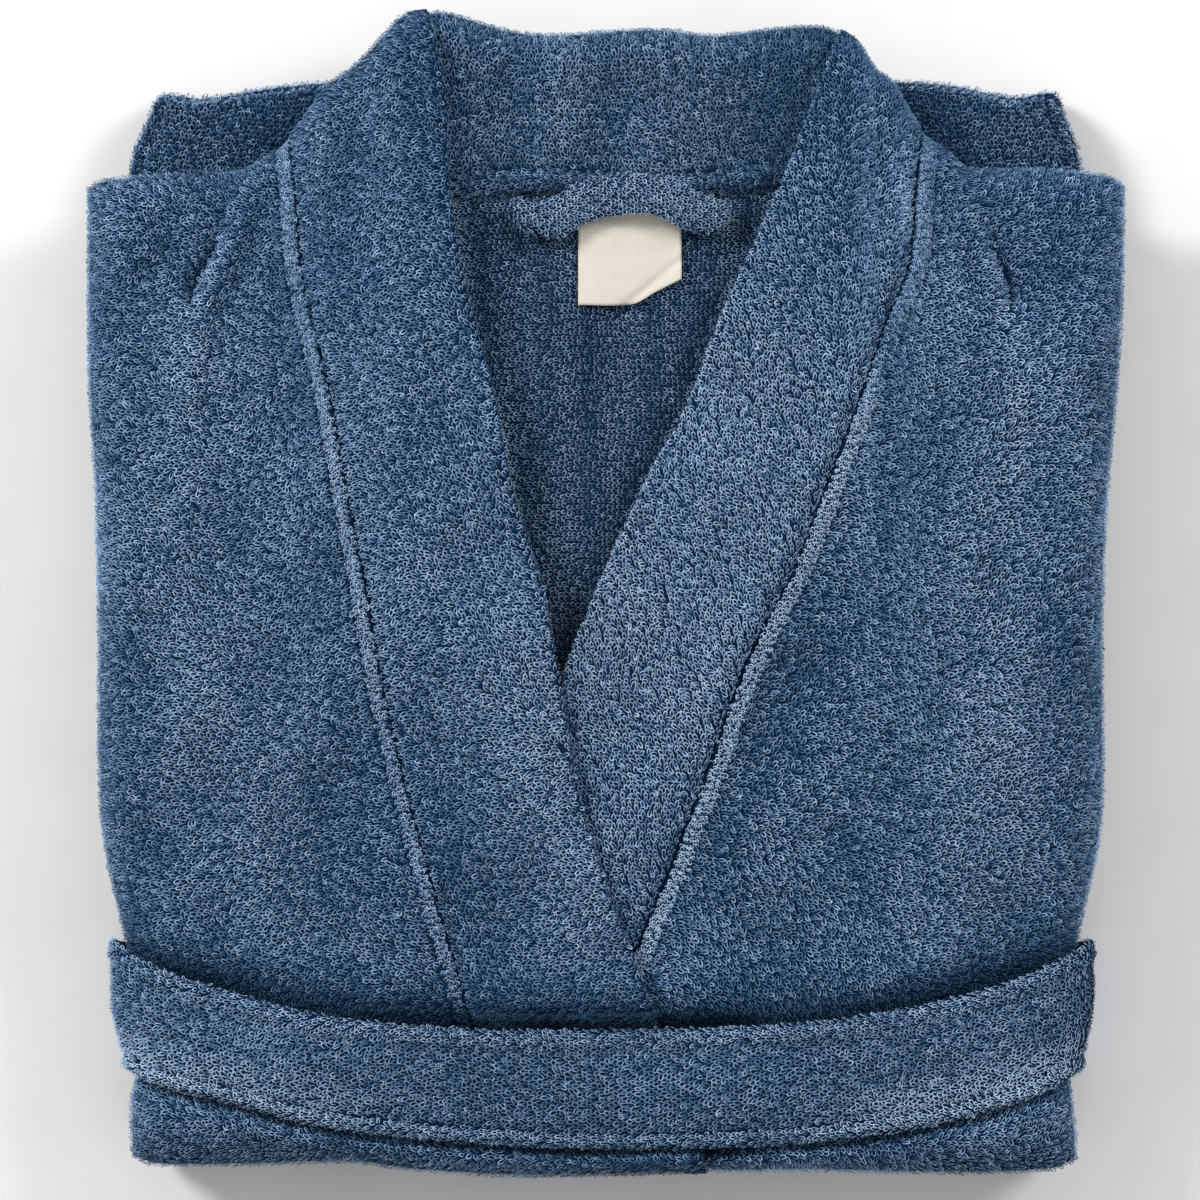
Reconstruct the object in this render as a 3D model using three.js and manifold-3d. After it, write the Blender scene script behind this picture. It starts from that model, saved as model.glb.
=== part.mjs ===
// A terry-towelling bathrobe with a kimono collar, folded to a flat packet and held by its belt.
// Millimetres. X runs across the packet, Y towards the collar, Z up. The packet lies on z = 0.
// Left and right are as seen from above, with the collar at the far end.
import * as THREE from "three";
import { mergeVertices } from "three/addons/utils/BufferGeometryUtils.js";
import Module from "manifold-3d";

// ---------- Driving sizes ----------
const WALL = 3; // one layer of terry
const BAND = 5; // the collar band and the belt: two layers, pressed
const GAP = 0.3; // between pieces that touch
const MID = 34; // height of the upper fold's widest line
const SIDE_ROUND = 17; // how far in the upper fold's side rounds over
const END_ROUND = 15;
const BAND_RISE = BAND - WALL; // the collar stands this much above the fronts
const RIDGE = 1.8; // seam allowance under the front, beside the collar seam
const SEAM_DIP = 2.2; // how far the collar sinks into that seam
const CROSSING_LIFT = BAND + 2 * GAP; // the left collar climbs over the right one
const BACK_DROP = 12; // the inner back lies this far under the fronts
const COLLAR_DROP = 9; // so does the collar at the back of the neck
const TUCK = 7.5; // how far a piece reaches in under its neighbour
const BELT_DIP = 7; // how deep the belt presses in
const BELT_PRESS = 0.5; // share of the band's rise that is left under the belt
const V_FOOT = -24; // y where the two collars meet
const V_END = -34;
const PACKET_BOTTOM = 24; // underside of the upper fold
const RIGHT_COLLAR_END = -131; // y where the right collar is wholly covered
const DOMING = 4; // the packet's sides lie this much under its middle
const PUFF = { height: 2, above: 14, width: 9 }; // the cloth swells above the belt
const PRESS_ABOVE = { from: 1, to: 9 }; // the belt's pressure fades out over these distances
const PRESS_BELOW = { from: 0, to: 7 };
const UNDER_BELT_LIFT = CROSSING_LIFT - 1.5; // what the belt leaves of the crossing's rise
// x where the layers under the belt begin, are full, begin to end, and end
const BANDS_ACROSS = [-74, -56, 48, 62];
const CROSSING_ACROSS = [-40, -12, 42, 56];
const CLIMB_ALONG = { from: 4, to: 46 }; // the crossing's climb above the V's foot
const CLIMB_ACROSS = { from: TUCK + 3, to: 50 }; // and away from the collar's free edge
const CLEARANCE = GAP * 0.7; // left by cutting, under the pieces that lie on the core
const TURNS = 24; // steps in which two curves' crossing settles

const TERRY = { color: 0x42586f, roughness: 1, metalness: 0 };
const TERRY_LIGHT = { color: 0x4a6482, roughness: 1, metalness: 0 };
const TERRY_DARK = { color: 0x33455d, roughness: 1, metalness: 0 };
const LABEL_CREAM = { color: 0xf2ead8, roughness: 0.8, metalness: 0 };

// Half widths of the upper fold, up the packet.
const SIDES = [
  { y: -210, left: 169, right: 168 },
  { y: -203, left: 171.2, right: 170 },
  { y: -182, left: 171.5, right: 168.5 },
  { y: -168, left: 168.5, right: 166.5 },
  { y: -150, left: 172, right: 169.5 },
  { y: -128, left: 173, right: 170 },
  { y: -112, left: 176.5, right: 173 },
  { y: -95, left: 180.4, right: 177 },
  { y: -72, left: 183, right: 179.6 },
  { y: -13, left: 183.4, right: 179.3 },
  { y: 34, left: 184.3, right: 181 },
  { y: 70, left: 186.5, right: 184.3 },
  { y: 105, left: 187.2, right: 186.5 },
  { y: 152, left: 187, right: 187.2 },
];

// Upper outline: shoulders, then up over the collar.
const TOP = [
  { x: -187.2, y: 145 },
  { x: -182, y: 149.3 },
  { x: -153, y: 152 },
  { x: -130, y: 153.4 },
  { x: -122, y: 158.5 },
  { x: -116, y: 162 },
  { x: -106, y: 175.5 },
  { x: -99, y: 184.5 },
  { x: -90, y: 191 },
  { x: -79.6, y: 202 },
  { x: -73, y: 208.8 },
  { x: -60, y: 210.4 },
  { x: -37.4, y: 204 },
  { x: -22.7, y: 202 },
  { x: 19.4, y: 204 },
  { x: 37.8, y: 201.8 },
  { x: 69.8, y: 205 },
  { x: 84, y: 203.5 },
  { x: 91, y: 198.5 },
  { x: 96, y: 190.5 },
  { x: 103, y: 184.5 },
  { x: 109.4, y: 173.3 },
  { x: 115, y: 165.5 },
  { x: 122, y: 161 },
  { x: 129, y: 154.6 },
  { x: 161.6, y: 153.2 },
  { x: 183, y: 150.2 },
  { x: 187.2, y: 145 },
];

// Lower outline, where the packet folds under.
const BOTTOM = [
  { x: -171, y: -203 },
  { x: -161, y: -206.5 },
  { x: -90, y: -205.5 },
  { x: -72, y: -208 },
  { x: -29, y: -210.4 },
  { x: 69, y: -208.3 },
  { x: 119, y: -209.4 },
  { x: 161, y: -208 },
  { x: 170, y: -204 },
];

// Height of the cloth along the packet's middle.
const CROWN = [
  { y: -210, z: 52 },
  { y: -185, z: 55 },
  { y: -140, z: 57 },
  { y: -90, z: 60 },
  { y: 0, z: 62 },
  { y: 90, z: 60 },
  { y: 150, z: 57 },
  { y: 210, z: 56 },
];

// The belt's two edges across the packet's face.
const BELT = [
  { x: -178, upper: -124, lower: -168 },
  { x: -161, upper: -134, lower: -175.5 },
  { x: -135, upper: -142.4, lower: -182 },
  { x: -103, upper: -150.7, lower: -190 },
  { x: -47, upper: -156, lower: -196 },
  { x: 4, upper: -156, lower: -198.2 },
  { x: 70, upper: -153.9, lower: -196 },
  { x: 111, upper: -147.8, lower: -191 },
  { x: 148, upper: -137.7, lower: -181.6 },
  { x: 178, upper: -123, lower: -168 },
];

// The left collar, from the lower fold up: its free inner edge and the seam to the front.
const LEFT_COLLAR = [
  { y: -210, inner: 38, seam: -31 },
  { y: -180, inner: 29, seam: -40 },
  { y: -150, inner: 18.5, seam: -48.7 },
  { y: -106, inner: 2.2, seam: -61.5 },
  { y: -74, inner: -7.9, seam: -70 },
  { y: -31, inner: -15.5, seam: -79.6 },
  { y: 0, inner: -21, seam: -85 },
  { y: 33, inner: -31, seam: -91.4 },
  { y: 70, inner: -38.5, seam: -98.2 },
  { y: 112, inner: -49.3, seam: -108 },
  { y: 145, inner: -54.7, seam: -111 },
  { y: 180, inner: -56.4, seam: -115 },
  { y: 210, inner: -63, seam: -120 },
];

// The right collar, under the left one from the V's foot down.
const RIGHT_COLLAR = [
  { y: -210, inner: -90, seam: -24 },
  { y: -150, inner: -64, seam: 1 },
  { y: -111, inner: -48, seam: 17.6 },
  { y: -66, inner: -30, seam: 35 },
  { y: -24, inner: -14.4, seam: 50.5 },
  { y: 9, inner: -0.7, seam: 67 },
  { y: 41, inner: 14, seam: 79.5 },
  { y: 70, inner: 29.5, seam: 90.5 },
  { y: 97, inner: 39.5, seam: 100 },
  { y: 117, inner: 48.5, seam: 108 },
  { y: 151, inner: 63.7, seam: 111 },
  { y: 179, inner: 74.5, seam: 115 },
  { y: 210, inner: 86, seam: 120 },
];

// The pinch where each front turns down over the shoulder, running out below it.
const CREASES = [
  { y: -210, left: -150, right: 141, depth: 0 },
  { y: 60, left: -148, right: 139, depth: 0 },
  { y: 92, left: -148, right: 143, depth: 0.25 },
  { y: 110, left: -146.5, right: 143.3, depth: 1 },
  { y: 123, left: -139.5, right: 138, depth: 1 },
  { y: 145, left: -133, right: 130, depth: 0.7 },
  { y: 154, left: -129.6, right: 128, depth: 0.5 },
];
const CREASE_DEPTH = 4.5;
const CREASE_WIDTH = 4;
const SHOULDER_STEP = 2.5; // the turned-down part lies lower
const SHOULDER_FADE = 34;

// The seam between the collar at the back of the neck and the inner back.
const NECK_SEAM = [
  { x: -70, y: 152 },
  { x: -48, y: 150 },
  { x: -20, y: 143 },
  { x: 30, y: 141 },
  { x: 62, y: 145 },
  { x: 90, y: 148 },
];
const NECK_RIDGE = 1;

// The hanging loop, a soft sewn strip along the neck seam.
const LOOP = [
  { x: -36, upper: 138, lower: 136 },
  { x: -34, upper: 141.5, lower: 133 },
  { x: -27, upper: 142, lower: 128 },
  { x: -18, upper: 143, lower: 126.6 },
  { x: -8, upper: 148, lower: 131 },
  { x: 4, upper: 150.4, lower: 134.4 },
  { x: 18, upper: 150.4, lower: 134 },
  { x: 30, upper: 146, lower: 128.5 },
  { x: 38, upper: 142.5, lower: 127.8 },
  { x: 43, upper: 140.5, lower: 132 },
  { x: 45.5, upper: 138, lower: 136 },
];
const LOOP_THICK = 5.5;

// The label: its lower edge runs up to the right, where its corner is turned in.
const LABEL = [
  { x: -10, lower: 103.2 },
  { x: 9.5, lower: 103.6 },
  { x: 18, lower: 108 },
  { x: 27, lower: 112.5 },
];
const LABEL_UPPER = 139;
const LABEL_THICK = 0.8;

// Outlines of the folded-up skirt's layers, from the bottom one up: how far each stands in.
const SKIRT_LAYERS = [
  { from: 0, to: 8.6, inset: 1.2, shift: 0.6 },
  { from: 8, to: 16.8, inset: 0, shift: 0 },
  { from: 16.2, to: 25, inset: 1.8, shift: -0.8 },
];
const LAYER_ROUND = 3.6;

// One side of the skirt's outline from its lower corner to the ear at its upper corner.
const SKIRT_LEFT = [
  [-30, -209.2],
  [-72, -207],
  [-158, -205.5],
  [-167, -203.5],
  [-171, -185],
  [-166, -172],
  [-167.5, -124],
  [-173, -95],
  [-175, 60],
  [-174, 150],
  [-172.5, 163],
  [-167.5, 171],
  [-165.5, 181],
  [-161.5, 184],
  [-149, 180.5],
  [-118, 185.5],
  [-92, 187.5],
];
const SKIRT_RIGHT = [
  [92, 187.5],
  [120, 187],
  [150, 181],
  [162, 184.5],
  [166, 183],
  [168, 172],
  [172.5, 163],
  [174, 150],
  [175, 60],
  [172, -95],
  [165, -124],
  [163, -172],
  [169.5, -187],
  [167.5, -204],
  [158, -207.5],
  [60, -207.4],
];

// ---------- Curves through the tables ----------
const clamp = (value, low, high) => Math.min(Math.max(value, low), high);

function smoothStep(from, to, value) {
  const t = clamp((value - from) / (to - from), 0, 1);
  return t * t * (3 - 2 * t);
}

// A smooth curve through a table's rows: the column "value" against the column "at".
function through(rows, at, value) {
  const last = rows.length - 1;
  const slope = (i) => {
    const before = rows[Math.max(i - 1, 0)];
    const after = rows[Math.min(i + 1, last)];
    return (after[value] - before[value]) / (after[at] - before[at]);
  };
  return (where) => {
    const place = clamp(where, rows[0][at], rows[last][at]);
    const next = clamp(rows.findIndex((row) => row[at] > place), 1, last);
    const i = place >= rows[last][at] ? last - 1 : next - 1;
    const width = rows[i + 1][at] - rows[i][at];
    const t = (place - rows[i][at]) / width;
    const rise = rows[i + 1][value] - rows[i][value];
    const bend = (1 - t) * (slope(i) * width - rise) - t * (slope(i + 1) * width - rise);
    return rows[i][value] + t * rise + t * (1 - t) * bend;
  };
}

const leftSide = through(SIDES, "y", "left");
const rightSide = through(SIDES, "y", "right");
const topEdge = through(TOP, "x", "y");
const bottomEdge = through(BOTTOM, "x", "y");
const crownHeight = through(CROWN, "y", "z");
const beltUpper = through(BELT, "x", "upper");
const beltLower = through(BELT, "x", "lower");
const leftInner = through(LEFT_COLLAR, "y", "inner");
const leftSeam = through(LEFT_COLLAR, "y", "seam");
const rightInner = through(RIGHT_COLLAR, "y", "inner");
const rightSeam = through(RIGHT_COLLAR, "y", "seam");
const leftCrease = through(CREASES, "y", "left");
const rightCrease = through(CREASES, "y", "right");
const creaseDepth = through(CREASES, "y", "depth");
const neckSeam = through(NECK_SEAM, "x", "y");

// ---------- The packet's surface ----------
// A quarter-round rise from 0 at an edge to 1 at the distance 1 from it.
const rounding = (distance) => Math.sqrt(1 - (1 - clamp(distance, 0, 1)) ** 2);

// How much the belt presses on the cloth at a place, from 0 to 1.
function beltPress(x, y) {
  const above = 1 - smoothStep(PRESS_ABOVE.from, PRESS_ABOVE.to, y - beltUpper(x));
  const below = 1 - smoothStep(PRESS_BELOW.from, PRESS_BELOW.to, beltLower(x) - y);
  return above * below;
}

const plateau = ([begin, full, ending, end], x) =>
  smoothStep(begin, full, x) * (1 - smoothStep(ending, end, x));

// How far the layers pile up where the collars cross under the belt.
function beltPile(x) {
  const bands = BAND_RISE * BELT_PRESS * plateau(BANDS_ACROSS, x);
  return bands + UNDER_BELT_LIFT * plateau(CROSSING_ACROSS, x);
}

function shoulderFold(x, y) {
  const outside = x < 0 ? leftCrease(y) - x : x - rightCrease(y);
  const depth = creaseDepth(y);
  const pinch = CREASE_DEPTH * depth * Math.exp(-((outside / CREASE_WIDTH) ** 2));
  const fade = 1 - smoothStep(CREASE_WIDTH, SHOULDER_FADE, outside);
  return pinch + (outside > 0 ? SHOULDER_STEP * depth * fade : 0);
}

// Height of the cloth before its edges round over, with its largest folds.
function crown(x, y) {
  const side = x < 0 ? leftSide(y) : rightSide(y);
  const doming = DOMING * (x / side) ** 2;
  const dip = beltPress(x, y) * (BELT_DIP + beltPile(x));
  const fromPuff = (y - beltUpper(x) - PUFF.above) / PUFF.width;
  const puff = PUFF.height * Math.exp(-(fromPuff ** 2));
  return crownHeight(y) - doming - shoulderFold(x, y) - dip + puff;
}

// Height of a surface that lies "inset" inside the cloth's outer face all round, and "drop"
// lower than that at its crown.
function level(x, y, inset, drop = 0) {
  const side = (x < 0 ? x + leftSide(y) : rightSide(y) - x) - inset;
  const upper = topEdge(x) - y - inset;
  const lower = y - bottomEdge(x) - inset;
  const round =
    rounding(side / (SIDE_ROUND - inset)) *
    rounding(upper / (END_ROUND - inset)) *
    rounding(lower / (END_ROUND - inset));
  return MID + (crown(x, y) - MID - inset - drop) * round;
}

// The left collar's climb over the right one: full at its inner edge, none at its seam.
function crossingLift(x, y) {
  const below = 1 - smoothStep(V_FOOT + CLIMB_ALONG.from, V_FOOT + CLIMB_ALONG.to, y);
  const across = 1 - smoothStep(CLIMB_ACROSS.from, CLIMB_ACROSS.to, leftInner(y) - x);
  const pressed = 1 - (1 - UNDER_BELT_LIFT / CROSSING_LIFT) * beltPress(x, y);
  return CROSSING_LIFT * below * across * pressed;
}

// ---------- Meshes ----------
// A closed mesh from two grids of the same size, one over the other.
function closedGrid(over, under, ringed = false) {
  const rows = over.length;
  const columns = over[0].length;
  const points = [...over.flat(), ...under.flat()];
  const place = (sheet, i, j) => sheet * rows * columns + (i % rows) * columns + j;
  const faces = [];
  const quad = (a, b, c, d) => faces.push([a, b, c], [a, c, d]);
  const steps = ringed ? rows : rows - 1;
  for (let i = 0; i < steps; i++) {
    for (let j = 0; j < columns - 1; j++) {
      quad(place(0, i, j), place(0, i, j + 1), place(0, i + 1, j + 1), place(0, i + 1, j));
      quad(place(1, i, j), place(1, i + 1, j), place(1, i + 1, j + 1), place(1, i, j + 1));
    }
    const end = columns - 1;
    quad(place(0, i + 1, 0), place(1, i + 1, 0), place(1, i, 0), place(0, i, 0));
    quad(place(0, i, end), place(1, i, end), place(1, i + 1, end), place(0, i + 1, end));
  }
  for (let j = 0; j < columns - 1 && !ringed; j++) {
    const end = rows - 1;
    quad(place(0, 0, j), place(1, 0, j), place(1, 0, j + 1), place(0, 0, j + 1));
    quad(place(0, end, j + 1), place(1, end, j + 1), place(1, end, j), place(0, end, j));
  }
  return meshOf(points, faces);
}

function meshOf(points, faces) {
  const geometry = new THREE.BufferGeometry();
  geometry.setAttribute("position", new THREE.Float32BufferAttribute(points.flat(), 3));
  geometry.setIndex(faces.flat());
  return geometry;
}

// Finds where a column, x against y, crosses a row, y against x.
function crossing(column, row, inset) {
  let x = column(0, inset);
  let y = 0;
  for (let turn = 0; turn < TURNS; turn++) {
    y = (y + row(x, inset)) / 2;
    x = column(y, inset);
  }
  return [x, row(x, inset)];
}

// A layer of cloth over rows and columns, between two heights.
function layer(rows, columns, over, under, inset) {
  const sheet = (height, depth) =>
    rows.map((row) =>
      columns.map((column) => {
        const [x, y] = crossing(column, row, depth);
        return [x, y, height(x, y)];
      }),
    );
  return closedGrid(sheet(over, 0), sheet(under, inset));
}

const between = (low, high, share) => (at, inset) =>
  low(at, inset) * (1 - share) + high(at, inset) * share;
const offset = (curve, distance) => (at, inset) => curve(at, inset) + distance;

// ---------- Rows, from the lower fold up ----------
const ROUND_STEPS = [0, 0.05, 0.2, 0.48, 1];
const upperLine = (x, inset = 0) => topEdge(x) - inset;
const lowerLine = (x, inset = 0) => bottomEdge(x) + inset;
const puffLine = (x) => beltUpper(x) + PRESS_ABOVE.to;
const shoulderLine = (x) => topEdge(x) - END_ROUND;
const upperRound = ROUND_STEPS.map((share) => (x, inset) =>
  upperLine(x, inset) - share * (END_ROUND - inset),
);
const LOWER_SHARES = [0, 0.06, 0.2, 0.42, 0.7];
const lowerRows = LOWER_SHARES.map((share) => between(lowerLine, beltLower, share));
const beltRows = [
  beltLower,
  between(beltLower, beltUpper, 0.5),
  offset(beltUpper, 1),
  offset(beltUpper, 4.5),
];

function faceRows(steps) {
  const middle = [];
  for (let i = 0; i < steps; i++) middle.push(between(puffLine, shoulderLine, i / steps));
  return middle;
}

const ROWS = [...lowerRows, ...beltRows, ...faceRows(12), ...upperRound.toReversed()];
const FIRST_BARE_ROW = lowerRows.length + beltRows.length + 1; // well above the belt

// ---------- Columns of each piece ----------
function sideColumns(edge, sign) {
  return ROUND_STEPS.map((share) => (y, inset) =>
    sign * (edge(y) - inset - share * (SIDE_ROUND - inset)),
  );
}

const spread = (low, high, count) =>
  Array.from({ length: count }, (_, i) => between(low, high, (i + 1) / (count + 1)));

// The part of a front from the crease to the side, from inside out.
const CREASE_STEPS = [-7, -2.5, 0, 2.5];
const CREASE_END = 8;

function outerColumns(crease, edge, sign) {
  const shoulder = (y) => crease(y) + sign * CREASE_END;
  const side = sideColumns(edge, sign).toReversed();
  return [
    ...CREASE_STEPS.map((step) => (y) => crease(y) + sign * step),
    shoulder,
    ...spread(shoulder, side[0], 1),
    ...side,
  ];
}

const RIDGE_STEPS = [GAP / 2, 1.5, 4.2, 6];
const RIDGE_START = 0.2;
const RIDGE_WIDTH = 5.6;
const ridgeHeight = (distance) => {
  const t = clamp((distance - RIDGE_START) / RIDGE_WIDTH, 0, 1);
  return RIDGE * Math.sin(Math.PI * t) ** 2;
};

// The right front and collar reach in under the left collar, to here, and only meet it where
// the packet folds under.
const TUCK_STARTS = { from: -198, to: -180 };
const tuckedIn = (y) => smoothStep(TUCK_STARTS.from, TUCK_STARTS.to, y);
const rightLimit = (y) => leftInner(y) + GAP - (TUCK + GAP) * tuckedIn(y);
const rightFrontSeam = (y) => Math.max(rightSeam(y), rightLimit(y));

function frontColumns(seam, crease, edge, sign) {
  const foot = (y) => seam(y) + sign * RIDGE_STEPS.at(-1);
  const shoulder = (y) => crease(y) + sign * CREASE_STEPS[0];
  return [
    ...RIDGE_STEPS.map((step) => (y) => seam(y) + sign * step),
    ...spread(foot, shoulder, 3),
    ...outerColumns(crease, edge, sign),
  ];
}

// The sheet's columns run from low x to high x, so that its faces point out.
function frontPanel(seam, crease, edge, sign) {
  const columns = frontColumns(seam, crease, edge, sign);
  const over = (x, y) => {
    const ridge = ridgeHeight(sign * (x - seam(y))) * (1 - beltPress(x, y));
    return level(x, y, 0, -ridge);
  };
  const under = (x, y) => level(x, y, WALL);
  return layer(ROWS, sign < 0 ? columns.toReversed() : columns, over, under, WALL);
}

// A band's rounded profile: its height share at a distance from its free edge.
const BLUNT = 0.25; // share of the thickness at the very edge
const bandEdge = (distance) => Math.max(rounding(distance / (BAND / 2)), BLUNT);
const BAND_STEPS = [0, 0.8, 2.5, 8];
const SEAM_SLOPE = { columns: 3, dip: 4 }; // how far from the seam the collar starts to sink

// A collar over the fronts' level, between its free inner edge and its seam.
function collar(rows, inner, seam, sign, lift) {
  const toSeam = (y) => seam(y) - (sign * GAP) / 2;
  const beforeSeam = (y) => seam(y) - sign * SEAM_SLOPE.columns;
  const roll = (y) => inner(y) + sign * BAND_STEPS.at(-1);
  const columns = [
    ...BAND_STEPS.map((step) => (y) => inner(y) + sign * step),
    ...spread(roll, beforeSeam, 3),
    beforeSeam,
    toSeam,
  ];
  const rise = (x, y) => {
    const pressed = 1 - (1 - BELT_PRESS) * beltPress(x, y);
    const seamDip = 1 - smoothStep(0, SEAM_SLOPE.dip, sign * (seam(y) - x));
    return BAND_RISE * pressed - SEAM_DIP * seamDip;
  };
  const thinned = (x, y) => ((WALL + rise(x, y)) / 2) * (1 - bandEdge(sign * (x - inner(y))));
  const over = (x, y) => level(x, y, 0, thinned(x, y) - rise(x, y) - lift(x, y));
  const under = (x, y) => level(x, y, WALL, -thinned(x, y) - lift(x, y));
  return layer(rows, sign < 0 ? columns.toReversed() : columns, over, under, WALL);
}

const noLift = () => 0;

// ---------- The V of the neck ----------
const TUCK_ENDS = { from: 170, to: 186 }; // y over which the tuck runs out at the top
const FREE_ENDS = { from: 174, to: 188 };
const V_LEAST = 6; // least width of the V's pieces
const V_COLUMNS = 6;
const tuckAt = (y) => TUCK * (1 - smoothStep(TUCK_ENDS.from, TUCK_ENDS.to, y));
const vLeft = (y) => leftInner(y) - tuckAt(y) + GAP;
const vRight = (y) => Math.max(rightInner(y) + tuckAt(y) - GAP, vLeft(y) + V_LEAST);
const SOFT_FOLDS = [
  { at: -30, width: 6, height: -1.2 },
  { at: -14, width: 6, height: 0.9 },
  { at: 2, width: 7, height: -0.8 },
  { at: 20, width: 8, height: 0.8 },
];

function neckFolds(x) {
  return SOFT_FOLDS.reduce(
    (sum, fold) => sum + fold.height * Math.exp(-(((x - fold.at) / fold.width) ** 2)),
    0,
  );
}

function backPanel() {
  const foot = () => V_END;
  const neck = (x) => neckSeam(x) - GAP / 2;
  const rows = [foot, ...spread(foot, neck, 8), neck];
  const over = (x, y) => level(x, y, 0, BACK_DROP);
  const columns = [vLeft, ...spread(vLeft, vRight, V_COLUMNS), vRight];
  return layer(rows, columns, over, (x, y) => over(x, y) - WALL, 0);
}

const NECK_STEPS = [0, 2, 6, 14, 26];
const NECK_FADE = { from: 4, to: 20 }; // above the seam, where the folds begin
const RIDGE_FADE = { from: 2, to: 7 };

function collarBack() {
  const neck = (x) => neckSeam(x) + GAP / 2;
  const rows = [...NECK_STEPS.map((step) => offset(neck, step)), ...upperRound.toReversed()];
  const free = (y) => smoothStep(FREE_ENDS.from, FREE_ENDS.to, y);
  const clear = (curve, sign) => (y) => curve(y) + sign * GAP * free(y);
  const left = clear(vLeft, 1);
  const right = clear(vRight, -1);
  const columns = [left, ...spread(left, right, V_COLUMNS), right];
  const above = (x, y) => y - neckSeam(x);
  const fold = (x, y) => neckFolds(x) * smoothStep(NECK_FADE.from, NECK_FADE.to, above(x, y));
  const ridge = (x, y) =>
    NECK_RIDGE * (1 - smoothStep(RIDGE_FADE.from, RIDGE_FADE.to, above(x, y)));
  const over = (x, y) => level(x, y, 0, COLLAR_DROP - fold(x, y) - ridge(x, y));
  const under = (x, y) => level(x, y, WALL, BACK_DROP - 1);
  return layer(rows, columns, over, under, WALL);
}

// ---------- The hidden layers ----------
const CORE_INSET = WALL + 3 * GAP;
const CORE_V = { rise: 12, clear: 0.6, least: 4, wall: 1, edge: 0.2 };
const CORE_SLOPE = { from: V_END - 28, to: V_END - 6 }; // y over which the hollow deepens
const CORE_CLIMB = { from: TUCK + 0.8, to: TUCK + 12, less: 1 };

// Top of the folded core under every visible piece.
function coreTop(x, y) {
  const inV = smoothStep(CORE_SLOPE.from, CORE_SLOPE.to, y);
  const open = x > coreVLeft(y) - CORE_V.edge && x < coreVRight(y) + CORE_V.edge;
  const beside = smoothStep(CORE_CLIMB.from, CORE_CLIMB.to, leftInner(y) - x);
  const lift = Math.max(crossingLift(x, y) * beside - CORE_CLIMB.less, 0);
  return level(x, y, CORE_INSET, open ? BACK_DROP * inV + GAP : -lift);
}

const coreTuck = (y) => tuckAt(y - CORE_V.rise) + CORE_V.clear;
const coreVLeft = (y) => leftInner(y) - coreTuck(y);
const coreVRight = (y) => Math.max(rightInner(y) + coreTuck(y), coreVLeft(y) + CORE_V.least);

function upperFold() {
  const leftWall = (y) => coreVLeft(y) - CORE_V.wall;
  const rightWall = (y) => coreVRight(y) + CORE_V.wall;
  const outerLeft = outerColumns(leftCrease, leftSide, -1).toReversed();
  const outerRight = outerColumns(rightCrease, rightSide, 1);
  const columns = [
    ...outerLeft,
    ...spread(outerLeft.at(-1), leftWall, 4),
    leftWall,
    coreVLeft,
    ...spread(coreVLeft, coreVRight, 3),
    coreVRight,
    rightWall,
    ...spread(rightWall, outerRight[0], 4),
    ...outerRight,
  ];
  const grid = ROWS.map((row) =>
    columns.map((column) => {
      const [x, y] = crossing(column, row, CORE_INSET);
      return [x, y, coreTop(x, y) - GAP];
    }),
  );
  return foldUnder(grid);
}

// Closes a draped grid below: out to the full outline, then rounded in to a flat underside.
const UNDER_RINGS = [
  { out: CORE_INSET, z: MID - GAP },
  { out: CORE_INSET - 1, z: MID - 4.5 },
  { out: CORE_INSET - 3.5, z: MID - 7.8 },
  { out: -5, z: PACKET_BOTTOM },
];

function foldUnder(grid) {
  const rows = grid.length;
  const columns = grid[0].length;
  const points = grid.flat();
  const faces = [];
  for (let i = 0; i < rows - 1; i++) {
    for (let j = 0; j < columns - 1; j++) {
      const a = i * columns + j;
      faces.push([a, a + 1, a + columns + 1], [a, a + columns + 1, a + columns]);
    }
  }
  const rim = rimOf(rows, columns);
  let ring = rim;
  for (const { out, z } of UNDER_RINGS) {
    const base = points.length;
    rim.forEach((index) => points.push(moved(points[index], out, z)));
    const next = rim.map((_, k) => base + k);
    ring.forEach((a, k) => {
      const b = ring[(k + 1) % rim.length];
      const c = next[(k + 1) % rim.length];
      faces.push([a, next[k], c], [a, c, b]);
    });
    ring = next;
  }
  const middle = points.push([0, 0, PACKET_BOTTOM]) - 1;
  ring.forEach((a, k) => faces.push([a, middle, ring[(k + 1) % ring.length]]));
  return meshOf(points, faces);
}

// The grid's border, once round, anticlockwise seen from above.
function rimOf(rows, columns) {
  const rim = [];
  for (let j = 0; j < columns - 1; j++) rim.push(j);
  for (let i = 0; i < rows - 1; i++) rim.push(i * columns + columns - 1);
  for (let j = columns - 1; j > 0; j--) rim.push((rows - 1) * columns + j);
  for (let i = rows - 1; i > 0; i--) rim.push(i * columns);
  return rim;
}

// Where the border counts as a side or an end: from this far out, in full after a width.
const SIDE_ZONE = { from: 150, width: 18 };
const UPPER_ZONE = { from: 120, width: 20 };
const LOWER_ZONE = { from: 185, width: 15 };

// Moves a border point out from the packet's middle, level by level.
function moved([x, y], out, z) {
  const share = (distance, zone) => clamp((distance - zone.from) / zone.width, 0, 1);
  const atSide = share(Math.abs(x), SIDE_ZONE);
  const atEnd = y > 0 ? share(y, UPPER_ZONE) : share(-y, LOWER_ZONE);
  return [x + Math.sign(x) * out * atSide, y + Math.sign(y) * out * atEnd, z];
}

const SKIRT_END = 155; // corners further out than this stand in from the packet's end
const SKIRT_SIDE = 140;

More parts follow.
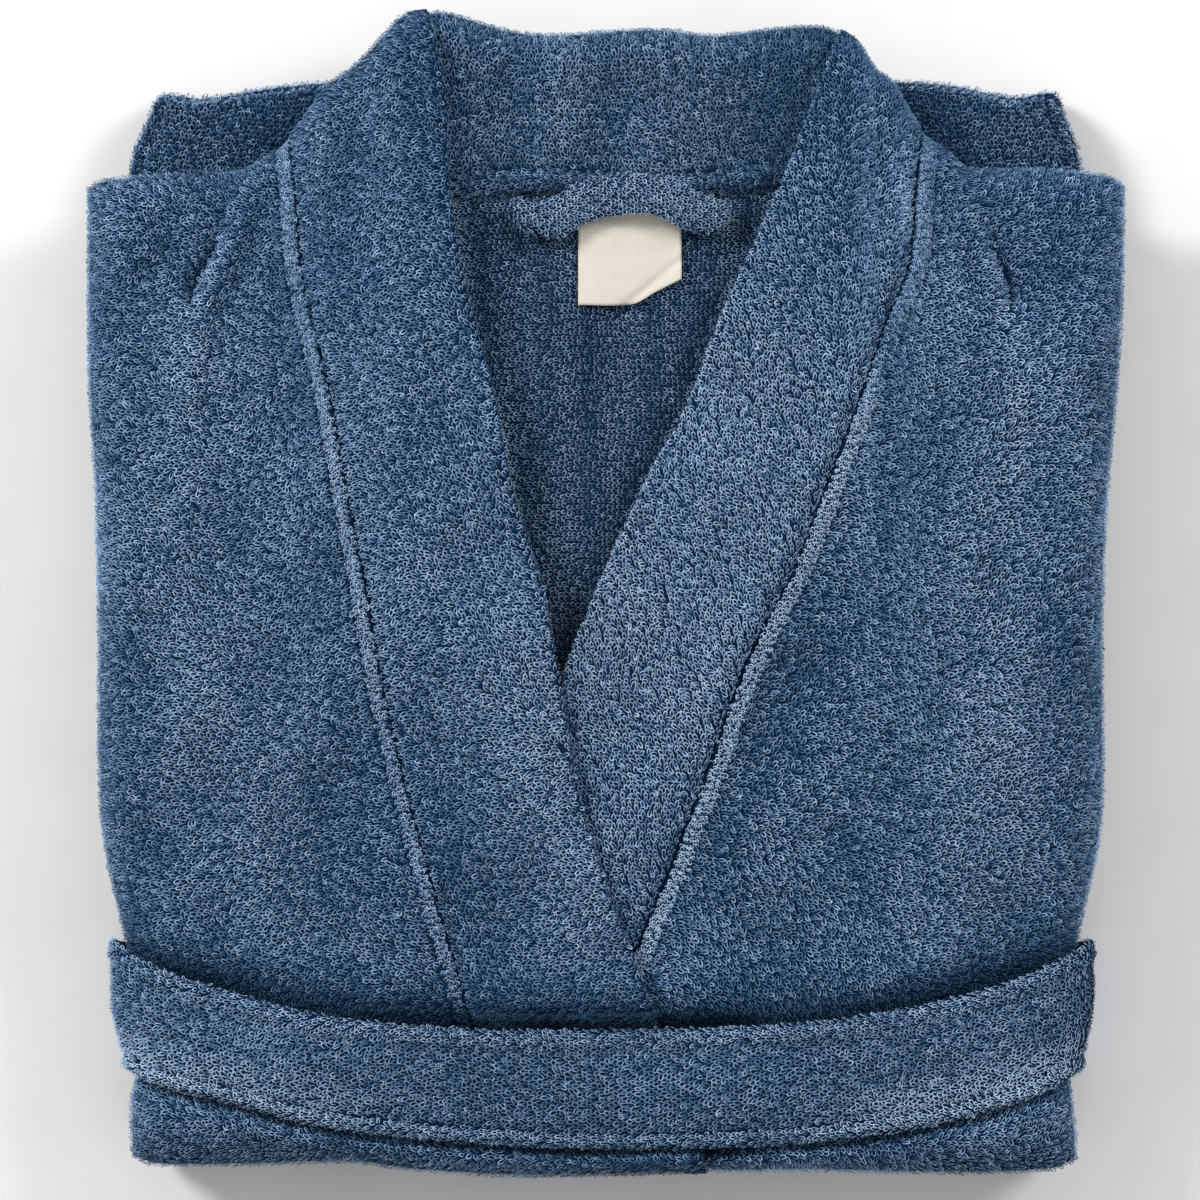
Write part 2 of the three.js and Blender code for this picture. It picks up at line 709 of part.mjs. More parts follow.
function skirtLayer({ from, to, inset, shift }) {
  const corners = [...SKIRT_LEFT, ...SKIRT_RIGHT].map(([x, y]) => {
    const inwards = inset + LAYER_ROUND;
    const atEnd = Math.abs(y) > SKIRT_END ? 1 : 0;
    const atSide = Math.abs(x) > SKIRT_SIDE ? 1 : 0;
    return new THREE.Vector2(
      x - Math.sign(x) * inwards * atSide + shift,
      y - Math.sign(y) * (inwards - shift) * atEnd,
    );
  });
  const slab = new THREE.ExtrudeGeometry(new THREE.Shape(corners), {
    depth: to - from - 2 * LAYER_ROUND,
    bevelThickness: LAYER_ROUND,
    bevelSize: LAYER_ROUND,
    bevelSegments: 2,
  });
  return slab.translate(0, 0, from + LAYER_ROUND);
}

// ---------- The belt ----------
const BELT_UNDER = { upper: -127, lower: -169 };
const BELT_CLEAR = 1;
const CORNER = 2; // inner radius where the belt turns under the packet
const BELT_STEPS = [0, 0.8, 2.5];
const BELT_INNER_SHARES = [0.35, 0.65];
const BELT_SIDE_HEIGHTS = [24, 14];
const LEAN_ABOVE_CORNER = 0.8; // share of the belt's lean that is done above the corner
const CORNER_TURNS = [0, 30, 60, 90]; // degrees
const BELT_START = { x: 150, y: -150 }; // where the search for a station begins
const BELT_TURNS = 8;
// Shares of the half width where the belt's stations lie, to either side
const LEFT_SHARES = [0.88, 0.75, 0.6, 0.45, 0.33, 0.22, 0.11];
const RIGHT_SHARES = [0, 0.11, 0.22, 0.3, 0.38, 0.5, 0.62, 0.75, 0.88];

// Places across the belt, as distances from its lower edge on a belt of a given width.
function beltPlaces(width) {
  const near = BELT_STEPS;
  const far = BELT_STEPS.toReversed().map((step) => width - step);
  return [...near, ...BELT_INNER_SHARES.map((share) => width * share), ...far];
}

const beltRound = (place, width) => bandEdge(Math.min(place, width - place));

// One station of the belt on the face of the packet, at a share of the half width.
function beltOnFace(sign, share, out) {
  const width = (x) => beltUpper(x) - beltLower(x);
  const edge = sign < 0 ? leftSide : rightSide;
  const start = sign * BELT_START.x;
  return beltPlaces(width(start)).map((_, index) => {
    let x = start;
    let y = BELT_START.y;
    for (let turn = 0; turn < BELT_TURNS; turn++) {
      const place = beltPlaces(width(x))[index];
      y = beltLower(x) + place;
      x = sign * share(edge(y) + out);
    }
    return [x, y, level(x, y, -out, -beltPile(x))];
  });
}

function beltStations(out) {
  const face = [];
  const edgeOf = (share) => (half) => half - share * SIDE_ROUND;
  const flat = (share) => (half) => (half - SIDE_ROUND) * share;
  for (const share of ROUND_STEPS) face.push(beltOnFace(-1, edgeOf(share), out));
  for (const share of LEFT_SHARES) face.push(beltOnFace(-1, flat(share), out));
  for (const share of RIGHT_SHARES) face.push(beltOnFace(1, flat(share), out));
  for (const share of ROUND_STEPS.toReversed()) face.push(beltOnFace(1, edgeOf(share), out));
  return face;
}

// The belt's way down a side and round the lower edge, between a face station and the floor.
function beltDown(station, sign, out) {
  const stations = [];
  const centreZ = CORNER + BAND;
  const radius = CORNER + (out > BAND ? BAND : 0);
  const leaning = (share) => station.map(([x, y], k) => [x, lerpUnder(y, k, share)]);
  for (const z of BELT_SIDE_HEIGHTS) {
    stations.push(leaning((MID - z) / MID).map(([x, y]) => [x, y, z]));
  }
  for (const turn of CORNER_TURNS) {
    const angle = THREE.MathUtils.degToRad(turn);
    const lean = LEAN_ABOVE_CORNER + ((1 - LEAN_ABOVE_CORNER) * turn) / CORNER_TURNS.at(-1);
    stations.push(
      leaning(lean).map(([x, y]) => [
        x - sign * radius * (1 - Math.cos(angle)),
        y,
        centreZ - radius * Math.sin(angle),
      ]),
    );
  }
  return stations;
}

// Moves a place across the belt towards where it lies under the packet.
function lerpUnder(y, index, share) {
  const { upper, lower } = BELT_UNDER;
  const places = beltPlaces(upper - lower);
  return THREE.MathUtils.lerp(y, lower + places[index], share);
}

function beltRing(out) {
  const face = beltStations(out);
  const left = beltDown(face[0], -1, out).toReversed();
  const right = beltDown(face.at(-1), 1, out);
  return [...left, ...face, ...right];
}

// Brings the two faces of the belt together at its edges, to a rounded profile.
function beltGeometry() {
  const inner = beltRing(BELT_CLEAR);
  const outer = beltRing(BELT_CLEAR + BAND);
  const shared = (mine, other, share) => mine.map((v, axis) => {
    const middle = (v + other[axis]) / 2;
    return middle + (v - middle) * share;
  });
  const round = (ring, against) =>
    ring.map((station, i) => {
      const width = station.at(-1)[1] - station[0][1];
      return station.map((point, j) =>
        shared(point, against[i][j], beltRound(point[1] - station[0][1], width)),
      );
    });
  return closedGrid(round(inner, outer), round(outer, inner), true);
}

// ---------- The loop and the label ----------
const LOOP_SIDES = 10;
const LOOP_FULL = 5; // half width from which the loop has its full thickness
const LABEL_CURL = { height: 1.6, fromX: 14, toX: 27, fromY: 108, toY: 124 };

function hangingLoop() {
  const upper = through(LOOP, "x", "upper");
  const lower = through(LOOP, "x", "lower");
  const points = [];
  const faces = [];
  LOOP.forEach(({ x }) => {
    const middle = (upper(x) + lower(x)) / 2;
    const half = (upper(x) - lower(x)) / 2;
    const floor = level(x, middle, 0, COLLAR_DROP) + NECK_RIDGE + GAP;
    const thick = LOOP_THICK * Math.min(1, half / LOOP_FULL);
    for (let k = 0; k < LOOP_SIDES; k++) {
      const angle = (2 * Math.PI * k) / LOOP_SIDES;
      points.push([x, middle + half * Math.cos(angle), floor + (thick / 2) * (1 + Math.sin(angle))]);
    }
  });
  const last = (LOOP.length - 1) * LOOP_SIDES;
  for (let start = 0; start < last; start += LOOP_SIDES) {
    for (let k = 0; k < LOOP_SIDES; k++) {
      const a = start + k;
      const b = start + ((k + 1) % LOOP_SIDES);
      faces.push([a, b, b + LOOP_SIDES], [a, b + LOOP_SIDES, a + LOOP_SIDES]);
    }
  }
  for (let k = 1; k < LOOP_SIDES - 1; k++) {
    faces.push([0, k + 1, k], [last, last + k, last + k + 1]);
  }
  return meshOf(points, faces);
}

function labelGeometry() {
  const lower = through(LABEL, "x", "lower");
  const upper = () => LABEL_UPPER;
  const rows = [lower, ...spread(lower, upper, 2), upper];
  const columns = LABEL.map(({ x }) => () => x);
  const { height, fromX, toX, fromY, toY } = LABEL_CURL;
  const curl = (x, y) => height * smoothStep(fromX, toX, x) * (1 - smoothStep(fromY, toY, y));
  const under = (x, y) => level(x, y, 0, BACK_DROP) + GAP + curl(x, y);
  return layer(rows, columns, (x, y) => under(x, y) + LABEL_THICK, under, 0);
}

// ---------- Joining and cutting ----------
const wasm = await Module();
wasm.setup();
const WELD = 1e-4; // points nearer than this are one

function solidOf(geometry) {
  const bare = geometry.clone();
  bare.deleteAttribute("normal");
  bare.deleteAttribute("uv");
  const merged = mergeVertices(bare, WELD);
  return new wasm.Manifold(
    new wasm.Mesh({
      numProp: 3,
      vertProperties: merged.attributes.position.array,
      triVerts: new Uint32Array(merged.index.array),
    }),
  );
}

function geometryOf(solid) {
  const mesh = solid.getMesh();
  const geometry = new THREE.BufferGeometry();
  geometry.setAttribute("position", new THREE.BufferAttribute(mesh.vertProperties, 3));
  geometry.setIndex(new THREE.BufferAttribute(mesh.triVerts, 1));
  return geometry;
}

const GROOVE_LENGTH = 400;
const GROOVE_MARGIN = 1; // to either side of the belt

// The core of hidden layers, grooved for the belt and cut clear of the pieces that lie on it.
function foldedLayers(coverings) {
  let solid = solidOf(upperFold());
  for (const row of SKIRT_LAYERS) solid = solid.add(solidOf(skirtLayer(row)));
  const { upper, lower } = BELT_UNDER;
  const across = upper - lower + 2 * GROOVE_MARGIN;
  const groove = new THREE.BoxGeometry(GROOVE_LENGTH, across, 2 * (BAND + GAP));
  groove.translate(0, (upper + lower) / 2, 0);
  solid = solid.subtract(solidOf(groove));
  for (const covering of coverings) {
    solid = solid.subtract(solidOf(covering.clone().translate(0, 0, -CLEARANCE)));
  }
  return geometryOf(solid);
}

// ---------- The robe ----------
const robe = new THREE.Group();

function addPiece(name, geometry, finish) {
  geometry.computeVertexNormals();
  const mesh = new THREE.Mesh(geometry, new THREE.MeshStandardMaterial(finish));
  mesh.name = name;
  robe.add(mesh);
}

const rightCollarInner = (y) => Math.max(rightInner(y), rightLimit(y));
const rightCollarRows = [() => RIGHT_COLLAR_END, ...ROWS.slice(FIRST_BARE_ROW)];
const frontLeft = frontPanel(leftSeam, leftCrease, leftSide, -1);
const frontRight = frontPanel(rightFrontSeam, rightCrease, rightSide, 1);
const collarLeft = collar(ROWS, leftInner, leftSeam, -1, crossingLift);
const collarRight = collar(rightCollarRows, rightCollarInner, rightSeam, 1, noLift);
const neckCollar = collarBack();
const coverings = [frontLeft, frontRight, collarLeft, collarRight, neckCollar];
addPiece("folded_layers", foldedLayers(coverings), TERRY_DARK);
addPiece("front_left", frontLeft, TERRY);
addPiece("front_right", frontRight, TERRY);
addPiece("back", backPanel(), TERRY_DARK);
addPiece("collar_left", collarLeft, TERRY_LIGHT);
addPiece("collar_right", collarRight, TERRY_LIGHT);
addPiece("collar_back", neckCollar, TERRY_LIGHT);
addPiece("hanging_loop", hangingLoop(), TERRY_LIGHT);
addPiece("label", labelGeometry(), LABEL_CREAM);
addPiece("belt", beltGeometry(), TERRY);

// The origin is the middle of the footprint.
const box = new THREE.Box3().setFromObject(robe);
robe.position.set(-(box.min.x + box.max.x) / 2, -(box.min.y + box.max.y) / 2, -box.min.z);

export default robe;
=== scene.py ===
"""A folded terry bathrobe with a kimono collar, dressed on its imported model.

Lengths in the tables are millimetres in the packet's own frame: X across, Y towards the collar,
Z up. Each visible cloth is a thin shell on its solid's form, and carries its terry loops as a
separate pile mesh.
"""

import math

import bpy
import numpy as np
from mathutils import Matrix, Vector


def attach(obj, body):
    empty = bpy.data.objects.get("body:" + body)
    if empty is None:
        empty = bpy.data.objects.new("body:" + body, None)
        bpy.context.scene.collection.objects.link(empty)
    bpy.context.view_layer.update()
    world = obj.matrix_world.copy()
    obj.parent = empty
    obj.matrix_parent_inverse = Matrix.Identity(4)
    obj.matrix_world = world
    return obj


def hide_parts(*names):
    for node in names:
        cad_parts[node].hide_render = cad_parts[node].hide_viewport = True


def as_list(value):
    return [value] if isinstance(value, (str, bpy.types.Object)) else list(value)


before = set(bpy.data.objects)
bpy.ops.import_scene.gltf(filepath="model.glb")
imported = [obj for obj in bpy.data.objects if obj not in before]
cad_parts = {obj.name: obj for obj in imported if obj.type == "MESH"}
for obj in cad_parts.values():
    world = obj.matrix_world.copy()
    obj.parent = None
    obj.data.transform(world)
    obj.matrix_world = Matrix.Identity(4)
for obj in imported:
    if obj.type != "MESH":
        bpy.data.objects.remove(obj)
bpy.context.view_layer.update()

# ---------- Sizes shared with the solids ----------
ORIGIN = (0.048, -0.131)  # the solids' frame is shifted this much from the tables'
WALL = 3.0
BAND = 5.0
GAP = 0.3
MID = 34.0
SIDE_ROUND = 17.0
END_ROUND = 15.0
BAND_RISE = BAND - WALL
SEAM_DIP = 2.2
CROSSING_LIFT = BAND + 2 * GAP
BACK_DROP = 12.0
COLLAR_DROP = 9.0
TUCK = 7.5
BELT_DIP = 7.0
BELT_PRESS = 0.5
V_FOOT = -24.0
V_END = -34.0
RIGHT_COLLAR_END = -131.0
CREASE_DEPTH = 2.4
CREASE_WIDTH = 4.0
CREASE_LINE = 4.2  # the pinch is sharper along its foot
CREASE_LINE_WIDTH = 2.0
CREASE_LINE_AT = (114.0, 11.0)  # y of the sharp part's middle, and its half length
SHOULDER_ROLL = 3.2  # the cloth bulges beside the pinch
SHOULDER_ROLL_WIDTH = 6.5
SHOULDER_STEP = 2.5
SHOULDER_FADE = 34.0
NECK_RIDGE = 1.0
LOOP_THICK = 5.5
LABEL_UPPER = 139.0
BELT_UNDER = (-169.0, -127.0)
BELT_CLEAR = 1.0
BELT_CORNER = 2.0
PRESS_ABOVE = (1, 9)  # where the belt's press fades, from its upper edge
PRESS_BELOW = (0, 7)  # and from its lower edge
BANDS_AT = (-74, -56, 48, 62)  # x where the collar's bands raise the belt, from and to
CROSSING_AT = (-40, -12, 42, 56)  # and where their crossing does
CROSSING_PRESS = 1.5  # what the belt presses out of the crossing
DOMING = 4.0
PUFF = (2.0, 14.0, 9.0)  # height, distance above the belt and width of the cloth's swell

# ---------- Sizes of the dressing ----------
PILE = 1.3  # the ground weave lies this far inside the solid's face
CLOTH = 1.4  # thickness of the ground weave
UNDER_ROUND = 10.0  # how far in the upper fold turns below its widest line
UNDER_DEPTH = 10.0
GRID = 3.2  # spacing of the ground weave's mesh

# y, left, right: half widths of the upper fold
SIDES = [
    (-210, 169, 168), (-203, 171.2, 170), (-182, 171.5, 168.5), (-168, 168.5, 166.5),
    (-150, 172, 169.5), (-128, 173, 170), (-112, 176.5, 173), (-95, 180.4, 177), (-72, 183, 179.6),
    (-13, 183.4, 179.3), (34, 184.3, 181), (70, 186.5, 184.3), (105, 187.2, 186.5),
    (152, 187, 187.2),
]
# x, y: upper outline
TOP = [
    (-187.2, 145), (-182, 149.3), (-153, 152), (-130, 153.4), (-122, 158.5), (-116, 162),
    (-106, 175.5), (-99, 184.5), (-90, 191), (-79.6, 202), (-73, 208.8), (-60, 210.4),
    (-37.4, 204), (-22.7, 202), (19.4, 204), (37.8, 201.8), (69.8, 205), (84, 203.5), (91, 198.5),
    (96, 190.5), (103, 184.5), (109.4, 173.3), (115, 165.5), (122, 161), (129, 154.6),
    (161.6, 153.2), (183, 150.2), (187.2, 145),
]
# x, y: lower outline
BOTTOM = [
    (-171, -203), (-161, -206.5), (-90, -205.5), (-72, -208), (-29, -210.4), (69, -208.3),
    (119, -209.4), (161, -208), (170, -204),
]
# y, z: height along the middle
CROWN = [
    (-210, 52), (-185, 55), (-140, 57), (-90, 60), (0, 62), (90, 60), (150, 57), (210, 56),
]
# x, upper, lower: the belt's edges
BELT = [
    (-178, -124, -168), (-161, -134, -175.5), (-135, -142.4, -182), (-103, -150.7, -190),
    (-47, -156, -196), (4, -156, -198.2), (70, -153.9, -196), (111, -147.8, -191),
    (148, -137.7, -181.6), (178, -123, -168),
]
# y, inner edge, seam
LEFT_COLLAR = [
    (-210, 38, -31), (-180, 29, -40), (-150, 18.5, -48.7), (-106, 2.2, -61.5), (-74, -7.9, -70),
    (-31, -15.5, -79.6), (0, -21, -85), (33, -31, -91.4), (70, -38.5, -98.2), (112, -49.3, -108),
    (145, -54.7, -111), (180, -56.4, -115), (210, -63, -120),
]
RIGHT_COLLAR = [
    (-210, -90, -24), (-150, -64, 1), (-111, -48, 17.6), (-66, -30, 35), (-24, -14.4, 50.5),
    (9, -0.7, 67), (41, 14, 79.5), (70, 29.5, 90.5), (97, 39.5, 100), (117, 48.5, 108),
    (151, 63.7, 111), (179, 74.5, 115), (210, 86, 120),
]
# y, left, right, depth: the pinch over each shoulder
CREASES = [
    (-210, -150, 141, 0), (60, -148, 139, 0), (92, -148, 143, 0.25), (110, -146.5, 143.3, 1),
    (123, -139.5, 138, 1), (145, -133, 130, 0.7), (154, -129.6, 128, 0.5),
]
NECK_SEAM = [(-70, 141), (-48, 141), (-30, 142), (-20, 142), (30, 141), (62, 145), (90, 148)]
# x, upper, lower
LOOP = [
    (-36, 138, 136), (-34, 141.5, 133), (-27, 142, 128), (-18, 143, 126.6), (-8, 148, 131),
    (4, 150.4, 134.4), (18, 150.4, 134), (30, 146, 128.5), (38, 142.5, 127.8), (43, 140.5, 132),
    (45.5, 138, 136),
]
LABEL = [(-10, 103.2), (9.5, 103.6), (18, 108), (27, 112.5)]
# at, width, height: soft upright folds of the collar behind the neck
NECK_FOLDS = [(-30, 6, -1.2), (-14, 6, 0.9), (2, 7, -0.8), (20, 8, 0.8)]

# Soft troughs (height below zero) and ridges on the top: x0, y0, x1, y1, width, height
TOP_FOLDS = [
    (-148, 78, -150, -96, 14, 1.8), (142, 78, 143, -96, 14, 1.8), (102, 84, 105, -14, 9, -1.9),
    (-114, 104, -100, 14, 9, -1.7), (-121, 142, -131, 112, 5, -1.3), (118, 142, 129, 112, 5, -1.3),
    (-99, -70, -99, -98, 10, -1.4), (88, -92, 90, -112, 9, -1.5), (62, -38, 66, -58, 10, -1.2),
    (-52, -70, -54, -106, 9, -1.4), (-92, 152, -94, 128, 9, -1.5), (92, 152, 91, 128, 8, -1.4),
    (-146.5, 98, -148, 64, 5, 1.5), (-139, 96, -142, 62, 5, -1.2), (145, 98, 146, 66, 5, 1.4),
    (137, 96, 138, 64, 5, -1.1), (-160, -20, -163, -88, 9, -1.1), (160, -8, 158, -80, 9, -1.2),
    (128, -60, 120, -118, 12, 1.2), (-128, -58, -122, -124, 12, 1.1), (14, 32, 30, -20, 9, -1.0),
    (34, 66, 52, 24, 10, 0.9), (-66, 60, -60, 0, 11, 0.9), (-158, 120, -165, 113, 3, -1.8),
    (156, 120, 162, 113, 3, -1.8),
]
# Long waves that leave no part of the cloth quite flat: x and y lengths, phase, height
WAVES = [(92, 140, 0.4, 0.55), (61, -104, 2.1, 0.4), (-47, 73, 4.0, 0.3), (33, 52, 1.2, 0.2)]


# ---------- Curves and heights ----------
def through(rows, column=1):
    """A smooth curve through a table's rows: one column against the first."""
    at = np.array([row[0] for row in rows], float)
    value = np.array([row[column] for row in rows], float)
    index = np.arange(len(at))
    before = np.maximum(index - 1, 0)
    after = np.minimum(index + 1, len(at) - 1)
    slope = (value[after] - value[before]) / (at[after] - at[before])

    def curve(where):
        place = np.clip(where, at[0], at[-1])
        i = np.clip(np.searchsorted(at, place, side="right") - 1, 0, len(at) - 2)
        width = at[i + 1] - at[i]
        t = (place - at[i]) / width
        rise = value[i + 1] - value[i]
        bend = (1 - t) * (slope[i] * width - rise) - t * (slope[i + 1] * width - rise)
        return value[i] + t * rise + t * (1 - t) * bend

    return curve


left_side, right_side = through(SIDES, 1), through(SIDES, 2)
top_edge, bottom_edge = through(TOP), through(BOTTOM)
crown_height, neck_seam = through(CROWN), through(NECK_SEAM)
belt_upper, belt_lower = through(BELT, 1), through(BELT, 2)
left_inner, left_seam = through(LEFT_COLLAR, 1), through(LEFT_COLLAR, 2)
right_inner, right_seam = through(RIGHT_COLLAR, 1), through(RIGHT_COLLAR, 2)
left_crease, right_crease, crease_depth = (through(CREASES, k) for k in (1, 2, 3))


def smooth_step(low, high, value):
    t = np.clip((value - low) / (high - low), 0, 1)
    return t * t * (3 - 2 * t)


def fade(low, high, value):
    return 1 - smooth_step(low, high, value)


def bell(distance, width):
    return np.exp(-((distance / width) ** 2))


def rounding(distance):
    return np.sqrt(1 - (1 - np.clip(distance, 0, 1)) ** 2)


def belt_press(x, y):
    above = fade(*PRESS_ABOVE, y - belt_upper(x))
    below = fade(*PRESS_BELOW, belt_lower(x) - y)
    return above * below


def plateau(x, rise_from, rise_to, fall_from, fall_to):
    return smooth_step(rise_from, rise_to, x) * fade(fall_from, fall_to, x)


def belt_pile(x):
    """How far the collars under it raise the belt."""
    crossing = (CROSSING_LIFT - CROSSING_PRESS) * plateau(x, *CROSSING_AT)
    return BAND_RISE * BELT_PRESS * plateau(x, *BANDS_AT) + crossing


def beyond_crease(x, y):
    """Distance from the pinch towards the packet's side."""
    return np.where(x < 0, left_crease(y) - x, x - right_crease(y))


def crease_line(y):
    middle, half = CREASE_LINE_AT
    return bell(y - middle, half)


def shoulder_fold(x, y):
    outside = beyond_crease(x, y)
    depth = crease_depth(y)
    pinch = CREASE_DEPTH * depth * bell(outside, CREASE_WIDTH)
    pinch = pinch + CREASE_LINE * crease_line(y) * bell(outside, CREASE_LINE_WIDTH)
    step = SHOULDER_STEP * depth * fade(4, SHOULDER_FADE, outside)
    roll = SHOULDER_ROLL * depth * bell(outside + SHOULDER_ROLL_WIDTH, SHOULDER_ROLL_WIDTH)
    return pinch - roll + np.where(outside > 0, step, 0)


def top_folds(x, y):
    """The creases and unevenness that the solids leave out."""
    total = np.zeros(np.broadcast(x, y).shape)
    for x0, y0, x1, y1, width, height in TOP_FOLDS:
        run = np.array([x1 - x0, y1 - y0], float)
        length = np.hypot(*run)
        along = ((x - x0) * run[0] + (y - y0) * run[1]) / length
        across = ((x - x0) * run[1] - (y - y0) * run[0]) / length
        beyond = np.maximum(np.maximum(-along, along - length), 0)
        total += height * bell(across, width) * bell(beyond, width * 1.6)
    for across, along, phase, height in WAVES:
        total += height * np.sin(2 * math.pi * (x / across + y / along) + phase)
    return total


def crown(x, y):
    side = np.where(x < 0, left_side(y), right_side(y))
    doming = DOMING * (x / side) ** 2
    press = belt_press(x, y)
    dip = press * (BELT_DIP + belt_pile(x))
    height, above, width = PUFF
    puff = height * bell(y - belt_upper(x) - above, width)
    folds = top_folds(x, y) * (1 - press)
    return crown_height(y) - doming - shoulder_fold(x, y) - dip + puff + folds


def level(x, y, inset, drop=0.0):
    """Height of a surface "inset" inside the cloth's face all round and "drop" lower on top."""
    side = np.where(x < 0, x + left_side(y), right_side(y) - x) - inset
    upper = top_edge(x) - y - inset
    lower = y - bottom_edge(x) - inset
    share = (
        rounding(side / (SIDE_ROUND - inset))
        * rounding(upper / (END_ROUND - inset))
        * rounding(lower / (END_ROUND - inset))
    )
    return MID + (crown(x, y) - MID - inset - drop) * share


def crossing_lift(x, y):
    below = fade(V_FOOT + 4, V_FOOT + 46, y)
    across = fade(TUCK + 3, 50, left_inner(y) - x)
    pressed = 1 - (CROSSING_PRESS / CROSSING_LIFT) * belt_press(x, y)
    return CROSSING_LIFT * below * across * pressed


# ---------- Grids over the packet ----------
UP_STEPS = 12
UNDER_STEPS = 6
UNDER_TURN = 78.0  # degrees below the widest line
MEET_STEPS = 24  # enough for columns and rows to settle on each other


class Span:
    """Places between two curves. A round end rolls over the packet's edge and in below it."""

    def __init__(self, low, high, count, low_round=0.0, high_round=0.0):
        self.low, self.high = low, high
        self.low_round, self.high_round = low_round, high_round
        up = np.linspace(0, math.pi / 2, UP_STEPS, endpoint=False)
        turn = np.concatenate(
            [np.radians(np.linspace(-UNDER_TURN, 0, UNDER_STEPS, endpoint=False)), up]
        )
        ends = [turn if low_round else turn[:0], turn[::-1] if high_round else turn[:0]]
        self.zone = np.repeat([0, 1, 2], [len(ends[0]), count, len(ends[1])])
        angle = np.concatenate([ends[0], np.full(count, math.pi / 2), ends[1]])
        flat = np.linspace(0, 1, count)
        rolled = 1 - np.cos(np.maximum(angle, 0))
        self.share = np.where(self.zone == 1, 0.0, rolled)
        self.share[self.zone == 1] = flat
        below = np.maximum(-angle, 0)
        self.under = UNDER_ROUND * (1 - np.cos(below))
        self.fall = np.sin(below)

    def shaped(self, axis):
        shape = (1, -1) if axis else (-1, 1)
        return [a.reshape(shape) for a in (self.zone, self.share, self.under, self.fall)]

    def place(self, at, inset, axis):
        zone, share, _, _ = self.shaped(axis)
        low, high = self.low(at), self.high(at)
        from_low = low + inset + share * (self.low_round - inset)
        from_high = high - inset - share * (self.high_round - inset)
        first, last = low + self.low_round, high - self.high_round
        flat = first * (1 - share) + last * share
        return np.where(zone == 0, from_low, np.where(zone == 2, from_high, flat))


def meet(columns, rows, inset):
    """Where each column crosses each row, and how far each place has turned under."""
    _, _, column_under, column_fall = columns.shaped(1)
    _, _, row_under, row_fall = rows.shaped(0)
    depth = inset + np.maximum(column_under, row_under)
    y = np.zeros(depth.shape)
    x = columns.place(y, depth, 1)
    for _ in range(MEET_STEPS):
        y = (y + rows.place(x, depth, 0)) / 2
        x = columns.place(y, depth, 1)
    return x, rows.place(x, depth, 0), np.maximum(column_fall, row_fall)


def drape(columns, rows, drop, inset=PILE):
    """The grid of points of a cloth: rows, columns, xyz."""
    x, y, fall = meet(columns, rows, inset)
    under = MID - (UNDER_DEPTH - inset) * fall
    z = np.where(fall > 0, under, level(x, y, inset, drop(x, y)))
    return np.stack([x, y, z], axis=-1)


def sunk(grid, amount):
    """Lets a cloth lie lower, where its neighbour covers it up to the packet's edge."""
    depth = amount(grid[..., 0], grid[..., 1])[..., None]
    return grid - grid_normals(grid) * depth


def nothing(x, y):
    return np.zeros(np.shape(x))


def count_over(length, spacing=GRID):
    return max(int(round(length / spacing)), 2)


def constant(value):
    """A straight edge for a Span."""
    return lambda at: np.full(np.shape(at), value)


ALL_ROWS = Span(bottom_edge, top_edge, count_over(350), END_ROUND, END_ROUND)


# ---------- Meshes ----------
def triangles_of(rows, columns, ringed=False):
    """Two triangles for each cell of a grid."""
    i, j = np.meshgrid(
        np.arange(rows if ringed else rows - 1), np.arange(columns - 1), indexing="ij"
    )
    i, j = i.ravel(), j.ravel()
    below = (i + 1) % rows
    a, b = i * columns + j, i * columns + j + 1
    c, d = below * columns + j + 1, below * columns + j
    return np.concatenate([np.stack([a, b, c], 1), np.stack([a, c, d], 1)])


def merged(points, faces):
    """Joins points that coincide, and drops the faces that this empties."""
    keys = np.round(points, 3)
    _, first, index = np.unique(keys, axis=0, return_index=True, return_inverse=True)
    faces = index.ravel()[faces]
    full = (
        (faces[:, 0] != faces[:, 1]) & (faces[:, 1] != faces[:, 2]) & (faces[:, 2] != faces[:, 0])
    )
    return points[first], faces[full], index.ravel()


def normals_of(points, faces):
    a, b, c = (points[faces[:, k]] for k in range(3))
    face = np.cross(b - a, c - a)
    total = np.stack(
        [
            sum(np.bincount(faces[:, k], face[:, axis], len(points)) for k in range(3))
            for axis in range(3)
        ],
        axis=1,
    )
    return total / np.maximum(np.linalg.norm(total, axis=1, keepdims=True), 1e-9)


def grid_normals(grid, ringed=False):
    rows, columns = grid.shape[:2]
    points, faces, index = merged(grid.reshape(-1, 3), triangles_of(rows, columns, ringed))
    return normals_of(points, faces)[index].reshape(grid.shape)


def closed_shell(points, faces, thickness):
    """Gives an open surface a thickness on its inner side, and a rim."""
    points, faces, _ = merged(points, faces)
    inner = points - normals_of(points, faces) * thickness
    count = len(points)
    edges = np.concatenate([faces[:, [0, 1]], faces[:, [1, 2]], faces[:, [2, 0]]])
    key = np.sort(edges, axis=1)
    _, index, uses = np.unique(key, axis=0, return_inverse=True, return_counts=True)
    rim = edges[uses[index.ravel()] == 1]
    a, b = rim[:, 0], rim[:, 1]
    sides = [np.stack([b, a, a + count], 1), np.stack([b, a + count, b + count], 1)]
    return np.concatenate([points, inner]), np.concatenate([faces, faces[:, ::-1] + count, *sides])


def to_metres(points):
    return (points + np.array([*ORIGIN, 0.0])) / 1000


